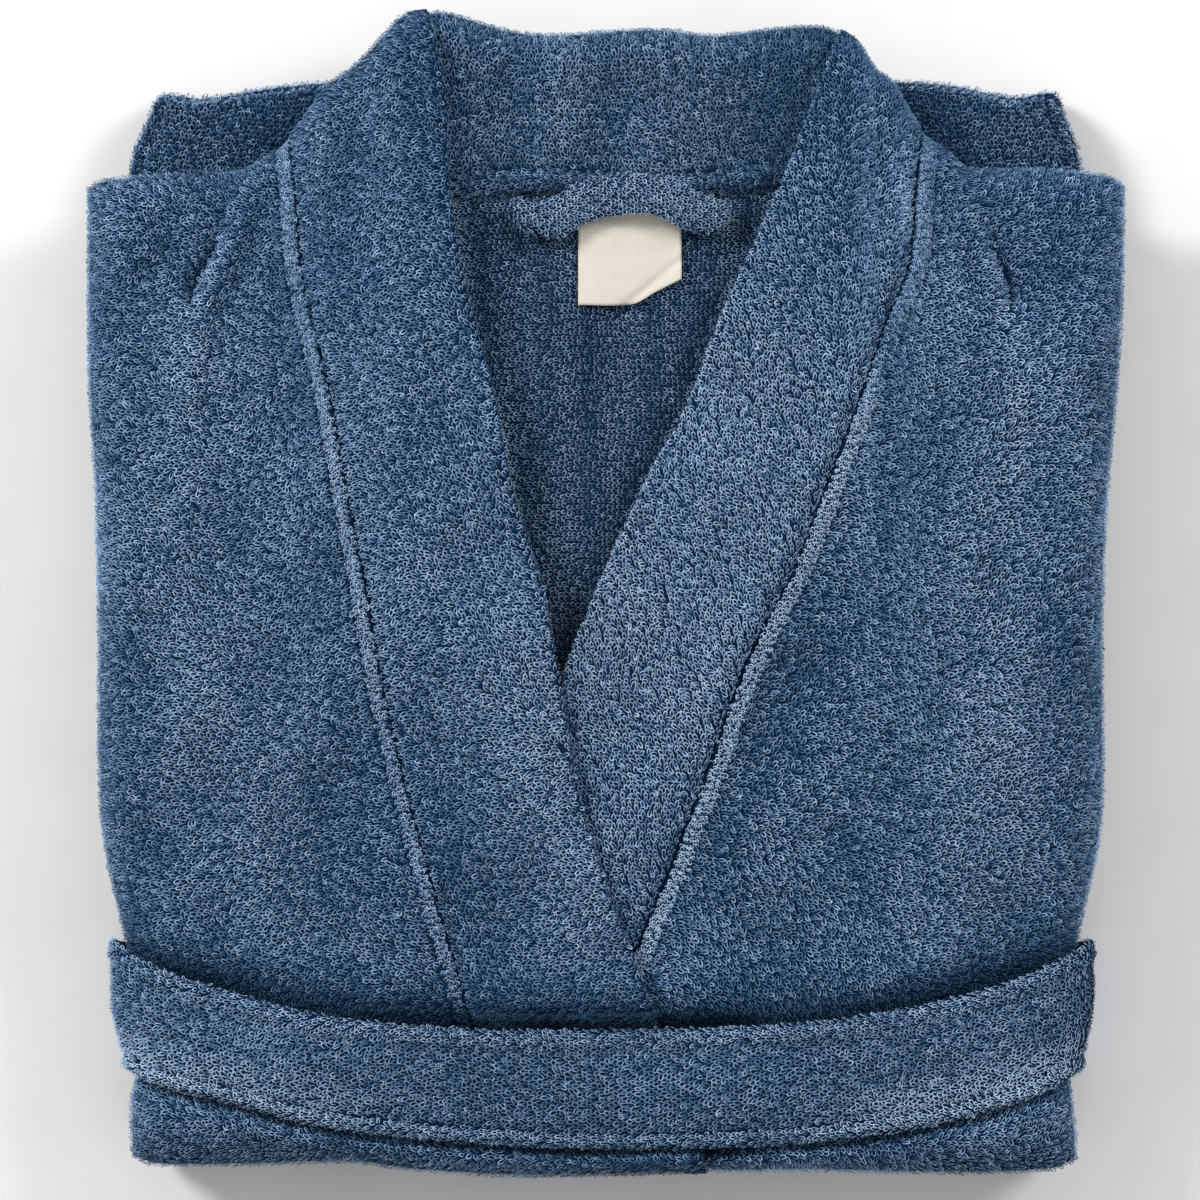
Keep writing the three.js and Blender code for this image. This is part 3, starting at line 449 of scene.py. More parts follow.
def new_object(name, points, faces, material, floats=None):
    """A smooth-shaded mesh object from points in millimetres and faces of one size."""
    mesh = bpy.data.meshes.new(name)
    size = faces.shape[1]
    mesh.vertices.add(len(points))
    mesh.vertices.foreach_set("co", to_metres(points).astype(np.float32).ravel())
    mesh.loops.add(faces.size)
    mesh.loops.foreach_set("vertex_index", faces.astype(np.int32).ravel())
    mesh.polygons.add(len(faces))
    mesh.polygons.foreach_set("loop_start", np.arange(0, faces.size, size, dtype=np.int32))
    mesh.polygons.foreach_set("use_smooth", np.ones(len(faces), bool))
    for label, values in (floats or {}).items():
        layer = mesh.attributes.new(label, "FLOAT", "POINT")
        layer.data.foreach_set("value", values.astype(np.float32).ravel())
    mesh.materials.append(material)
    mesh.update(calc_edges=True)
    mesh.validate()
    made = bpy.data.objects.new(name, mesh)
    bpy.context.scene.collection.objects.link(made)
    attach(made, "root")
    return made


# ---------- Terry loops ----------
PITCH = 1.78  # between loops along a row
ROW_PITCH = 1.6
LAID_PITCH = 2.08  # where the loops lie along their rows
LAID_ROW_PITCH = 1.56
LAID_TILT = (56, 75)
LAID_LONG = 1.22
LAID_SPREAD = 26.0
NAP = 0.92  # share of the loops that lean the same way
JITTER = 0.14  # of each loop's place in its row
YARN = 0.175  # half the yarn's width
LOOP_HEIGHT = 2.25
LOOP_WIDE = 1.4
# How far single loops differ: factors from and to, and standard deviations
HEIGHTS = (0.8, 1.15)
BREADTHS = (0.78, 1.1)
YARNS = (0.85, 1.2)
SKEW = 0.2
SHADE = 0.2  # of the tone
FACING = 0.25  # turns the ribbons a little towards the side that they lean from
# One loop from foot to foot: share of its width, of its height and of its yarn's width
LOOP_PATH = np.array(
    [
        (-0.16, 0.08, 0.85), (-0.54, 0.44, 1.0), (-0.3, 0.9, 1.05),
        (0.26, 0.98, 1.05), (0.55, 0.56, 1.0), (0.26, 0.1, 0.85),
    ]
)


def interpolated(grid, rows, columns):
    i = np.clip(rows.astype(int), 0, grid.shape[0] - 2)
    j = np.clip(columns.astype(int), 0, grid.shape[1] - 2)
    v, u = (rows - i)[:, None], (columns - j)[:, None]
    low = grid[i, j] * (1 - u) + grid[i, j + 1] * u
    high = grid[i + 1, j] * (1 - u) + grid[i + 1, j + 1] * u
    return low * (1 - v) + high * v


def run_of(line):
    return np.concatenate([[0], np.cumsum(np.linalg.norm(np.diff(line, axis=0), axis=1))])


def unit(vectors):
    return vectors / np.maximum(np.linalg.norm(vectors, axis=-1, keepdims=True), 1e-9)


def feet_on(grid, rng, pitch=PITCH, row_pitch=ROW_PITCH, jitter=JITTER, normals=None):
    """Loop positions in woven rows over a grid, with the surface's normal and row direction."""
    rows, columns = grid.shape[:2]
    normals = grid_normals(grid) if normals is None else normals
    spine = np.mean([run_of(grid[:, j]) for j in range(0, columns, 2)], axis=0)
    steps = np.arange(row_pitch / 2, spine[-1], row_pitch)
    at_rows, at_columns = [], []
    for k, v in enumerate(np.interp(steps, spine, np.arange(rows))):
        i = min(int(v), rows - 2)
        line = grid[i] * (1 - (v - i)) + grid[i + 1] * (v - i)
        run = run_of(line)
        count = int(run[-1] / pitch)
        if not count:
            continue
        places = (np.arange(count) + 0.25 + 0.5 * (k % 2)) * run[-1] / count
        places += rng.uniform(-jitter, jitter, count) * pitch
        at_columns.append(np.interp(places, run, np.arange(columns)))
        wander = rng.uniform(-jitter, jitter, count) * row_pitch / spine[-1] * rows
        at_rows.append(np.clip(v + wander, 0, rows - 1.001))
    at_rows, at_columns = np.concatenate(at_rows), np.concatenate(at_columns)
    along = np.gradient(grid, axis=1)
    return (
        interpolated(grid, at_rows, at_columns),
        unit(interpolated(normals, at_rows, at_columns)),
        unit(interpolated(along, at_rows, at_columns) + 1e-6),
    )


def only(feet, chosen):
    """The loops that a mask picks."""
    return tuple(part[chosen] for part in feet)


def joined(parts):
    return tuple(np.concatenate(part) for part in zip(*parts))


def sway(x, y):
    """The loops' direction wanders over the cloth, in degrees."""
    long_wave = 11 * np.sin(x / 19 + y / 27)
    return long_wave + 9 * np.sin(y / 11 - x / 33) + 10 * np.sin(x / 7 + y / 9)


def loop_axes(feet, rng, turn, spread, tilt):
    """Each loop's breadth and side, the direction that it leans in, and how far in radians."""
    base, normal, along = feet
    count = len(base)
    turn = turn + sway(base[:, 0], base[:, 1])
    across = unit(np.cross(normal, along))
    along = np.cross(across, normal)
    angle = np.radians(turn + rng.normal(0, 1, count) * spread)[:, None]
    direction = along * np.cos(angle) + across * np.sin(angle)
    side = np.cross(normal, direction)
    same = np.where(rng.uniform(size=count) < NAP, 1.0, -1.0)[:, None]
    lean = np.radians(rng.uniform(*tilt, count))[:, None]
    return direction, side, side * same, lean


def ribbons(centres, normal, side, thickness):
    """Points and faces of a flat ribbon along each line of centres."""
    heading = np.gradient(centres, axis=1)
    flat = np.cross(heading, normal[:, None, :]) - FACING * side[:, None, :]
    offset = unit(flat) * (YARN * LOOP_PATH[None, :, 2, None] * thickness)
    points = np.stack([centres - offset, centres + offset], axis=2).reshape(-1, 3)
    count, sections = centres.shape[:2]
    start = (np.arange(count) * sections * 2)[:, None] + np.arange(sections - 1)[None, :] * 2
    return points, start.reshape(-1, 1) + np.array([[0, 1, 3, 2]])


def loops_mesh(
    feet, rng, turn=0.0, spread=36.0, tilt=(44, 68), scale=1.0, wide=1.0, long=1.0, tone=0.0
):
    """Curled loops of yarn as ribbons that face away from the cloth.

    turn is the loops' direction against the rows and spread how much it differs, and tilt is how
    far they lean, from and to, in degrees. All but tilt may be given for each loop.
    """
    base, normal, _ = feet
    count = len(base)
    direction, side, toward, lean = loop_axes(feet, rng, turn, spread, tilt)
    up = normal * np.cos(lean) + toward * np.sin(lean)
    scale = np.broadcast_to(scale, count)[:, None]
    long = np.broadcast_to(long, count)[:, None]
    height = scale * long * LOOP_HEIGHT * rng.uniform(*HEIGHTS, count)[:, None]
    base = base - toward * np.sin(lean) * height / 2  # the loop's middle stays on its place
    breadth = scale * LOOP_WIDE * (wide * rng.uniform(*BREADTHS, count))[:, None]
    skew = rng.normal(0, SKEW, count)[:, None]
    centres = [
        base + direction * (breadth * a + skew * height * h) + up * height * h
        for a, h, _ in LOOP_PATH
    ]
    thickness = rng.uniform(*YARNS, (count, 1, 1))
    points, faces = ribbons(np.stack(centres, axis=1), normal, side, thickness)
    tip = np.tile(np.repeat(LOOP_PATH[:, 1], 2), count)
    shade = np.clip(0.5 + tone + rng.normal(0, SHADE, count), 0, 1)
    return points, faces, {"tip": tip, "tone": np.repeat(shade, 2 * len(LOOP_PATH))}


def make_pile(name, feet, seed, material, keep=None, style=None, **same):
    """keep is true where loops stand. style gives the loops_mesh values that differ by place."""
    if keep is not None:
        feet = only(feet, keep(*feet[0].T))
    if style is not None:
        same = {**same, **style(*feet[0].T[:2])}
    points, faces, floats = loops_mesh(feet, seeded(seed), **same)
    return new_object(name, points, faces, material, floats)


def seeded(seed):
    return np.random.default_rng(seed)


# ---------- Materials ----------
def node_tree(name):
    material = bpy.data.materials.new(name)
    material.use_nodes = True
    tree = material.node_tree
    shader = tree.nodes["Principled BSDF"]
    return material, tree, shader


def linear(red, green, blue):
    """sRGB, 0 to 255, as the linear colour that shaders take."""
    values = np.array([red, green, blue]) / 255
    low = values / 12.92
    high = ((values + 0.055) / 1.055) ** 2.4
    return (*np.where(values <= 0.04045, low, high).tolist(), 1.0)


def mix_colour(tree, factor, first, second, blend="MIX"):
    node = tree.nodes.new("ShaderNodeMix")
    node.data_type = "RGBA"
    node.blend_type = blend
    for index, value in ((0, factor), (6, first), (7, second)):
        if isinstance(value, bpy.types.NodeSocket):
            tree.links.new(value, node.inputs[index])
        else:
            node.inputs[index].default_value = value
    return node.outputs[2]


def ramp(tree, value, stops):
    node = tree.nodes.new("ShaderNodeValToRGB")
    elements = node.color_ramp.elements
    while len(elements) < len(stops):
        elements.new(0.5)
    for element, (position, colour) in zip(elements, stops):
        element.position = position
        element.color = colour
    tree.links.new(value, node.inputs["Fac"])
    return node.outputs["Color"]


def attribute(tree, name):
    node = tree.nodes.new("ShaderNodeAttribute")
    node.attribute_name = name
    return node.outputs["Fac"]


def noise(tree, scale, detail=3.0, roughness=0.5):
    place = tree.nodes.new("ShaderNodeTexCoord")
    node = tree.nodes.new("ShaderNodeTexNoise")
    node.inputs["Scale"].default_value = scale
    node.inputs["Detail"].default_value = detail
    node.inputs["Roughness"].default_value = roughness
    tree.links.new(place.outputs["Object"], node.inputs["Vector"])
    return node.outputs["Fac"]


def grey(value):
    return (value, value, value, 1.0)


def bumped(tree, shader, height, strength, distance):
    bump = tree.nodes.new("ShaderNodeBump")
    bump.inputs["Strength"].default_value = strength
    bump.inputs["Distance"].default_value = distance
    tree.links.new(height, bump.inputs["Height"])
    tree.links.new(bump.outputs["Normal"], shader.inputs["Normal"])


YARN_DEEP = linear(82, 118, 152)
YARN_BODY = linear(158, 186, 219)
YARN_PALE = linear(200, 222, 246)
YARN_FOOT_SHADE = (0.05, 0.17, 0.3, 1.0)  # painted shade at the foot: what is left of the light, and of each colour
YARN_SHANK_SHADE = (0.66, 0.77, 0.87, 1.0)
# The ground is painted in shade: far darker than the yarn, for the gaps between the loops
SHADED_GROUND_DARK = linear(4, 28, 50)
SHADED_GROUND_LIGHT = linear(12, 46, 76)


def pile_material(name, tint=1.0):
    """Dyed cotton loops, each a little different, in soft clouds; painted shade darkens their feet,
    the tone attribute also carries painted light and shade, and tint paints light or shade over the
    whole copy.
    """
    material, tree, shader = node_tree(name)
    tones = [(0.0, YARN_DEEP), (0.5, YARN_BODY), (1.0, YARN_PALE)]
    foot_shades = [(0.0, YARN_FOOT_SHADE), (0.5, YARN_SHANK_SHADE), (1.0, grey(1.0))]
    body = ramp(tree, attribute(tree, "tone"), tones)
    # painted shade that darkens each loop towards its foot
    foot = ramp(tree, attribute(tree, "tip"), foot_shades)
    depth = mix_colour(tree, 1.0, body, foot, "MULTIPLY")
    clouds = ramp(
        tree, noise(tree, 22.0, 4.0), [(0.3, grey(0.9 * tint)), (0.7, grey(1.04 * tint))]
    )
    tree.links.new(mix_colour(tree, 1.0, depth, clouds, "MULTIPLY"), shader.inputs["Base Color"])
    shader.inputs["Roughness"].default_value = 0.88
    shader.inputs["Specular IOR Level"].default_value = 0.12
    shader.inputs["Sheen Weight"].default_value = 0.1
    shader.inputs["Sheen Roughness"].default_value = 0.5
    shader.inputs["Sheen Tint"].default_value = linear(150, 175, 210)
    return material


def ground_material(name):
    """The woven ground under the loops, coloured far darker than their yarn as painted shade in the
    gaps between them.
    """
    material, tree, shader = node_tree(name)
    weave = noise(tree, 900.0, 2.0)
    colour = ramp(tree, weave, [(0.35, SHADED_GROUND_DARK), (0.7, SHADED_GROUND_LIGHT)])
    tree.links.new(colour, shader.inputs["Base Color"])
    shader.inputs["Roughness"].default_value = 0.95
    shader.inputs["Specular IOR Level"].default_value = 0.1
    bumped(tree, shader, weave, 0.6, 0.0008)
    return material


def label_material(name):
    """Cream cotton tape with a fine twill."""
    material, tree, shader = node_tree(name)
    place = tree.nodes.new("ShaderNodeTexCoord")
    twill = tree.nodes.new("ShaderNodeTexWave")
    twill.inputs["Scale"].default_value = 760.0
    twill.inputs["Distortion"].default_value = 1.2
    twill.bands_direction = "DIAGONAL"
    tree.links.new(place.outputs["Object"], twill.inputs["Vector"])
    cloth = ramp(
        tree, twill.outputs["Fac"], [(0.0, linear(214, 206, 190)), (1.0, linear(232, 227, 216))]
    )
    stains = ramp(tree, noise(tree, 160.0, 4.0), [(0.3, grey(0.93)), (0.7, grey(1.0))])
    tree.links.new(mix_colour(tree, 1.0, cloth, stains, "MULTIPLY"), shader.inputs["Base Color"])
    shader.inputs["Roughness"].default_value = 0.75
    bumped(tree, shader, twill.outputs["Fac"], 0.35, 0.0003)
    return material


GROUND = ground_material("terry_ground")
# Copies of one pile with painted light and shade in their tint: the crossed right collar painted
# lighter; the collar behind the neck with its hanging loop, the inner back and the folded skirt
# painted in shade.
PILE_FRONT = pile_material("terry_pile", 0.95)
PILE_COLLAR = pile_material("terry_pile_collar", 0.97)
PILE_CROSSED_LIT = pile_material("terry_pile_crossed", 1.02)
PILE_NECK_SHADED = pile_material("terry_pile_neck", 0.78)
PILE_INNER_SHADED = pile_material("terry_pile_inner", 0.58)
PILE_HIDDEN_SHADED = pile_material("terry_pile_hidden", 0.86)
LABEL_TAPE = label_material("label_tape")


def make_cloth(name, node, grid, thickness=CLOTH, material=GROUND):
    """A thin shell on a grid, in its solid's place."""
    points, faces = closed_shell(grid.reshape(-1, 3), triangles_of(*grid.shape[:2]), thickness)
    cloth = new_object(name, points, faces, material)
    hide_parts(node)
    return cloth


def dressed(node, grid, feet, seed, pile, keep=None, style=None, thickness=CLOTH, **same):
    """A solid's cloth and its pile."""
    cloth = make_cloth("cloth_" + node, node, grid, thickness)
    return cloth, make_pile("pile_cloth_" + node, feet, seed, pile, keep, style, **same)


# ---------- Fronts ----------
STITCH_BARE = 0.85  # no loops stand this near a stitch line
STRIP_HIGHLIGHT = 0.16  # painted highlight on a seam's raised strip, whose stretched loops also show paler
LEFT_STRIP_HIGHLIGHT = 0.12  # and more so on the left
RIGHT_STRIP_HIGHLIGHT = 0.56  # and low on the right
STRIP_DULL = 0.12  # but less near the shoulder
STRIP_PITCH = 1.2  # they stand closer
STRIP_JITTER = 0.3
STRIP_LOOP = {"spread": 32.0, "scale": 0.68, "wide": 1.25, "long": 1.0}
FRONT_LOOP = {"spread": LAID_SPREAD, "scale": 1.0, "wide": 0.94, "long": LAID_LONG}
STRIP_RISE = 1.8  # widths of the strip's slopes at the collar and at its stitches
STRIP_FALL = 2.4
GROOVE_PAST = 0.3  # how far past the strip its stitches lie
GROOVE = (1.0, 1.1)  # depth and width
LEFT_LIE = 80.0  # the loops' direction against the rows: their tips point to the left
RIGHT_LIE = -62.0  # and to the upper right
BELT_LIE = -50.0  # added near the belt's middle
UNDER_BELT = (8, 2.5)  # nothing shows this far in from the belt's lower and upper edge
CREASE_BARE = 0.75
# Tones move a loop's colour along its yarn's range, which is 1 long. The shades below are painted
# shade.
BELT_SHADE = 0.26  # above the belt, where the cloth leans into its press
EDGE_SHADES = (0.34, 0.16)  # close above and below the belt
TOP_SHADE = 0.12
SIDE_SHADE = 0.06
SHOULDER_SHADE = 0.2  # towards the collar end
LOW_SHADE = 0.05  # towards the belt
LAID_SHADE = 0.13  # painted shade on the fronts' loops, less towards the shoulders, against the pale flanks that sideways loops show
# painted highlight along each collar's rolled free edge
COLLAR_EDGE_HIGHLIGHT = 0.14
UNDER_COLLAR = 2.4  # how far a cloth sinks where a collar runs over it to the packet's edge


def seam_strip(distance, width, height):
    """The stitched-down seam allowance: a low flat ridge between two stitch lines."""
    rise = smooth_step(0.0, STRIP_RISE, distance) * fade(width - STRIP_FALL, width, distance)
    depth, groove = GROOVE
    return height * rise - depth * bell(distance - width - GROOVE_PAST, groove)


def painted_cloth_light(x, y):
    """Painted light and shade on the pile: paler where the cloth swells and on the roll beside each
    shoulder's pinch; darker just outside the pinch, round the packet's edges, towards the collar
    end and near the belt.
    """
    side = np.where(x < 0, x + left_side(y), right_side(y) - x)
    above_lower = y > belt_lower(x)
    at_top = fade(3, 16, top_edge(x) - y)
    at_side = fade(3, 20, side)
    from_belt = np.where(above_lower, y - belt_upper(x), belt_lower(x) - y)
    above = fade(3, 30, from_belt) * above_lower
    close = fade(4, 11, from_belt)
    shade = BELT_SHADE * above + np.where(above_lower, *EDGE_SHADES) * close
    outside, depth = beyond_crease(x, y), crease_depth(y)
    pinch = depth * (0.1 * bell(outside + 4, 3.2) - 0.24 * bell(outside - 1.2, 2.4))
    low = LOW_SHADE * fade(-90, -30, y) * above_lower
    raised = 0.1 * top_folds(x, y) + pinch - low - SHOULDER_SHADE * smooth_step(70, 120, y)
    return raised - TOP_SHADE * at_top - SIDE_SHADE * at_side - shade


def strip_highlight(x, y):
    """Painted highlight on the seam strips: the right one palest in its lower half; both duller
    near the shoulder.
    """
    lower = smooth_step(-20, 20, x) * fade(30, 90, y)
    raised = STRIP_HIGHLIGHT + LEFT_STRIP_HIGHLIGHT * (x < 0) + RIGHT_STRIP_HIGHLIGHT * lower
    return raised - STRIP_DULL * smooth_step(60, 130, y)


def right_limit(y):
    return left_inner(y) - TUCK


def below_left_collar(x, y):
    near_fold = fade(-198, -180, y)
    return UNDER_COLLAR * near_fold * fade(-3, 3, x - left_inner(y))


def right_front_seam(y):
    return np.maximum(right_seam(y), right_limit(y))


def outside_belt(x, y, z):
    """Not under the belt, where nothing shows."""
    above_lower, below_upper = UNDER_BELT
    return ~((y < belt_upper(x) - below_upper) & (y > belt_lower(x) + above_lower))


def left_lie(x, y):
    return LEFT_LIE


def right_lie(x, y):
    return RIGHT_LIE + BELT_LIE * fade(-110, -60, y) * fade(90, 130, x)


def make_front(node, columns, seam, sign, strip, stitch_bare, lie, seed, sink=nothing):
    """strip is the seam strip's width and height, and stitch_bare is bare beside its stitches."""

    def from_seam(x, y):
        return sign * (x - seam(y))

    def drop(x, y):
        shown = (1 - belt_press(x, y)) * smooth_step(-2, 2, y - belt_lower(x))
        return -seam_strip(from_seam(x, y), *strip) * shown

    def keep(x, y, z):
        stitched = np.abs(from_seam(x, y) - strip[0] - GROOVE_PAST) < stitch_bare
        pinched = np.abs(beyond_crease(x, y)) < CREASE_BARE * crease_line(y)
        bare = stitched | (from_seam(x, y) < STITCH_BARE)
        return outside_belt(x, y, z) & ~(bare & (y > belt_lower(x))) & ~pinched

    def on_strip(x, y, z):
        return keep(x, y, z) & (from_seam(x, y) < strip[0]) & (y > belt_upper(x))

    def off_strip(x, y, z):
        return keep(x, y, z) & ~on_strip(x, y, z)

    def style(x, y):
        strip_loop = (from_seam(x, y) < strip[0]) & (y > belt_lower(x))
        lower = smooth_step(0, 3, belt_lower(x) - y)
        # Painted shade on the laid loops, a little painted light below the belt, and the strips'
        # painted highlight
        laid_darkening = 0.07 + LAID_SHADE * fade(70, 120, y)
        tone = painted_cloth_light(x, y) - laid_darkening + 0.06 * lower
        loops = {key: np.where(strip_loop, STRIP_LOOP[key], FRONT_LOOP[key]) for key in FRONT_LOOP}
        turn = np.where(strip_loop, 0.0, lie(x, y))
        return {**loops, "turn": turn, "tone": tone + np.where(strip_loop, strip_highlight(x, y), 0.0)}

    grid = sunk(drape(columns, ALL_ROWS, drop), sink)
    laid = feet_on(grid, seeded(seed), LAID_PITCH, LAID_ROW_PITCH)
    close = feet_on(grid, seeded(seed + 2), STRIP_PITCH, STRIP_PITCH, STRIP_JITTER)
    feet = joined([only(laid, off_strip(*laid[0].T)), only(close, on_strip(*close[0].T))])
    return dressed(node, grid, feet, seed + 1, PILE_FRONT, style=style, tilt=LAID_TILT)


def left_front_edge(y):
    return left_seam(y) + 0.4


def right_front_edge(y):
    return right_front_seam(y) - 0.4


def left_outline(y):
    return -left_side(y)


LEFT_COLUMNS = Span(left_outline, left_front_edge, count_over(85), low_round=SIDE_ROUND)
RIGHT_COLUMNS = Span(right_front_edge, right_side, count_over(85), high_round=SIDE_ROUND)
LEFT_STRIP = (5.6, 1.8)  # width and height
RIGHT_STRIP = (6.6, 2.0)
front_left, pile_left = make_front(
    "front_left", LEFT_COLUMNS, left_seam, -1, LEFT_STRIP, 0.35, left_lie, 11
)
front_right, pile_right = make_front(
    "front_right", RIGHT_COLUMNS, right_front_seam, 1, RIGHT_STRIP, 0.0, right_lie, 21,
    below_left_collar,
)


# ---------- Collar ----------
EDGE_TURNS = np.radians([90, 60, 30, 0, -30, -60, -90])
EDGE_RADIUS = 1.7
ROLL_LINE = 3.4  # a stitched line this far inside the free edge
STITCHES = ROLL_LINE + 0.9  # the middle of their groove
TURNED_BACK = [2.5, 6.0]  # places along the hem below the edge
COLLAR_CLOTH = 1.0
SEAM_WIDE = 3.2  # the collar falls off over this width to its seam
SEAM_TUCK = 3.0  # and goes under the front's cloth beyond it
STITCH_GROOVE = (1.5, 0.8)  # depth and width
EDGE_ROLL = (0.5, 1.9, 1.3)  # height, distance from the edge and width


class BandSpan:
    """Columns of a collar: from under the seam across to the free edge and round below it."""

    def __init__(self, seam, inner, sign, count):
        """sign is +1 where the free edge lies on the low x side of the seam."""
        self.seam, self.inner, self.sign = seam, inner, sign
        turns = [np.full(count, math.pi / 2), EDGE_TURNS[1:], [-math.pi / 2] * 2]
        self.turn = np.concatenate(turns)
        self.share = np.concatenate([np.linspace(0, 1, count), np.ones(len(EDGE_TURNS) + 1)])
        self.back = np.concatenate([np.zeros(count + len(EDGE_TURNS) - 1), TURNED_BACK])
        self.level = np.zeros((1, len(self.share)))

    def shaped(self, axis):
        """As a Span's, and no column turns under the packet."""
        return None, None, self.level, self.level

    def place(self, at, inset, axis):
        beyond = self.seam(at) + self.sign * 1.2
        free = self.inner(at) + self.sign * (PILE + EDGE_RADIUS)
        along = beyond * (1 - self.share) + free * self.share
        return along + self.sign * (self.back - EDGE_RADIUS * np.cos(self.turn))

    def thickness(self):
        return EDGE_RADIUS * (1 - np.sin(self.turn))


def left_collar_painted_light(x, y):
    # Painted light and shade: paler near the free edge in the lower half, darker around the middle,
    # towards the top and low down
    near_edge = fade(8, 40, left_inner(y) - x)
    middle = 0.16 * bell(y - 50, 60) + 0.12 * smooth_step(120, 180, y)
    return 0.24 * near_edge * bell(y + 50, 80) - middle - 0.1 * fade(-60, 30, y)


def right_collar_painted_light(x, y):
    # Painted light and shade: paler around the middle and below the shoulder, darker at the top,
    # and a painted shadow beside the left collar's edge
    shaded = 0.3 * fade(0, 5, x - left_inner(y))
    top = 0.26 * smooth_step(145, 180, y) - 0.12 * bell(y - 110, 40)
    return 0.2 * bell(y + 35, 75) - top - shaded


def make_collar(node, rows, seam, inner, sign, lift, seed, material, collar_light_and_shade, roll_bare, turn):
    """collar_light_and_shade is painted light and shade added to the cloth's, and roll_bare is bare
    beside the edge's stitches.
    """
    columns = BandSpan(seam, inner, sign, count_over(66))

    def from_edge(x, y):
        return sign * (x - inner(y))

    def drop(x, y):
        pressed = 1 - (1 - BELT_PRESS) * belt_press(x, y)
        to_seam = sign * (seam(y) - x)
        dip = SEAM_DIP * fade(0, SEAM_WIDE, to_seam)
        tucked = SEAM_TUCK * fade(-1.2, 0.2, to_seam)
        depth, groove = STITCH_GROOVE
        height, inward, roll = EDGE_ROLL
        line = depth * bell(from_edge(x, y) - STITCHES, groove)
        line = line - height * bell(from_edge(x, y) - inward, roll)
        rise = BAND_RISE * pressed - dip - tucked
        return columns.thickness() + line - rise - lift(x, y)

    def keep(x, y, z):
        rolled = np.abs(from_edge(x, y) - STITCHES) < roll_bare
        below = z < MID - UNDER_DEPTH / 2
        bare = (rolled & ~below) | ((sign * (seam(y) - x) < 0.8) & (y > belt_lower(x)))
        return outside_belt(x, y, z) & ~bare

    def style(x, y):
        on_edge = from_edge(x, y) < ROLL_LINE
        lower = smooth_step(0, 3, belt_lower(x) - y)
        # Painted light and shade from the cloth and the collar, darker below the belt, and a
        # painted highlight on the rolled edge
        tone = painted_cloth_light(x, y) + collar_light_and_shade(x, y) - 0.1 * lower - 0.08
        return {
            "turn": np.where(on_edge, 70.0 * (1 - lower), turn),
            "spread": LAID_SPREAD,
            "tone": tone + np.where(on_edge, COLLAR_EDGE_HIGHLIGHT, 0.0),
            "long": np.where(on_edge, 1.0, LAID_LONG),
            "wide": 0.96,
        }

    grid = drape(columns, rows, drop)
    if sign > 0:
        grid = grid[:, ::-1]
    feet = feet_on(grid, seeded(seed), LAID_PITCH, LAID_ROW_PITCH)
    return dressed(node, grid, feet, seed + 1, material, keep, style, COLLAR_CLOTH, tilt=LAID_TILT)


def right_collar_inner(y):
    return np.maximum(right_inner(y), right_limit(y))


RIGHT_ROWS = Span(
    constant(RIGHT_COLLAR_END + 4.0), top_edge, count_over(290), high_round=END_ROUND
)
collar_left, pile_collar_left = make_collar(
    "collar_left", ALL_ROWS, left_seam, left_inner, -1, crossing_lift, 31,
    PILE_COLLAR, left_collar_painted_light, 0.15, 75.0,
)
collar_right, pile_collar_right = make_collar(
    "collar_right", RIGHT_ROWS, right_seam, right_collar_inner, 1, nothing, 41,
    PILE_CROSSED_LIT, right_collar_painted_light, 0.0, 35.0,
)


# ---------- Inner back and collar behind the neck ----------
def tuck_at(y):
    return TUCK - 2.5 * smooth_step(170, 186, y)


def v_left(y):
    return left_inner(y) - tuck_at(y) + GAP


def v_right(y):
    return np.maximum(right_inner(y) + tuck_at(y) - GAP, v_left(y) + 6)


HEM = 10.0  # the seam allowance stitched down behind the neck
TURN_UP = 5.5
UNDER_BAND = 3.5  # how far below the top a collar's underside lies
NECK_LIP = 4.6  # from the hem's face down to the back
NECK_SWELL = 4.5  # beside the left collar
NECK_FOLD_SHARE = 1.6  # how much deeper the collar's folds are than the table's
HEM_GROOVE = (0.9, 1.4)  # depth and width


def neck_folds(x):
    return sum(height * bell(x - at, width) for at, width, height in NECK_FOLDS)


def from_collars(x, y):
    return np.minimum(x - v_left(y), v_right(y) - x)


def under_collars(x, y, rise):
    """The cloths between the collars turn up at their sides, out of sight, and meet them."""
    turned = fade(0.5, TURN_UP, from_collars(x, y))
    return rise * turned * smooth_step(4, 20, top_edge(x) - y)


def make_back():
    columns = Span(v_left, v_right, count_over(100))
    rows = Span(constant(V_END), lambda x: neck_seam(x) + 2.0, count_over(178))

    def drop(x, y):
        faint = neck_folds(x) * smooth_step(20, 90, y)
        tucked = 1.5 * fade(-2.0, 0.0, neck_seam(x) - y)
        return BACK_DROP - faint + tucked - under_collars(x, y, BACK_DROP - UNDER_BAND)

    def style(x, y):
        # Upright streaks of lighter and darker pile, and painted shade towards the neck
        streaks = 0.16 * np.sin(x / 3.1 + 0.4 * np.sin(y / 21)) + 0.1 * np.sin(x / 1.9 + y / 40)
        return {"turn": 80.0, "spread": 18.0, "tone": streaks - 0.12 * smooth_step(20, 90, y)}

    grid = drape(columns, rows, drop)
    feet = feet_on(grid, seeded(51), pitch=1.75, row_pitch=2.0, jitter=0.08)
    return dressed("back", grid, feet, 52, PILE_INNER_SHADED, style=style)


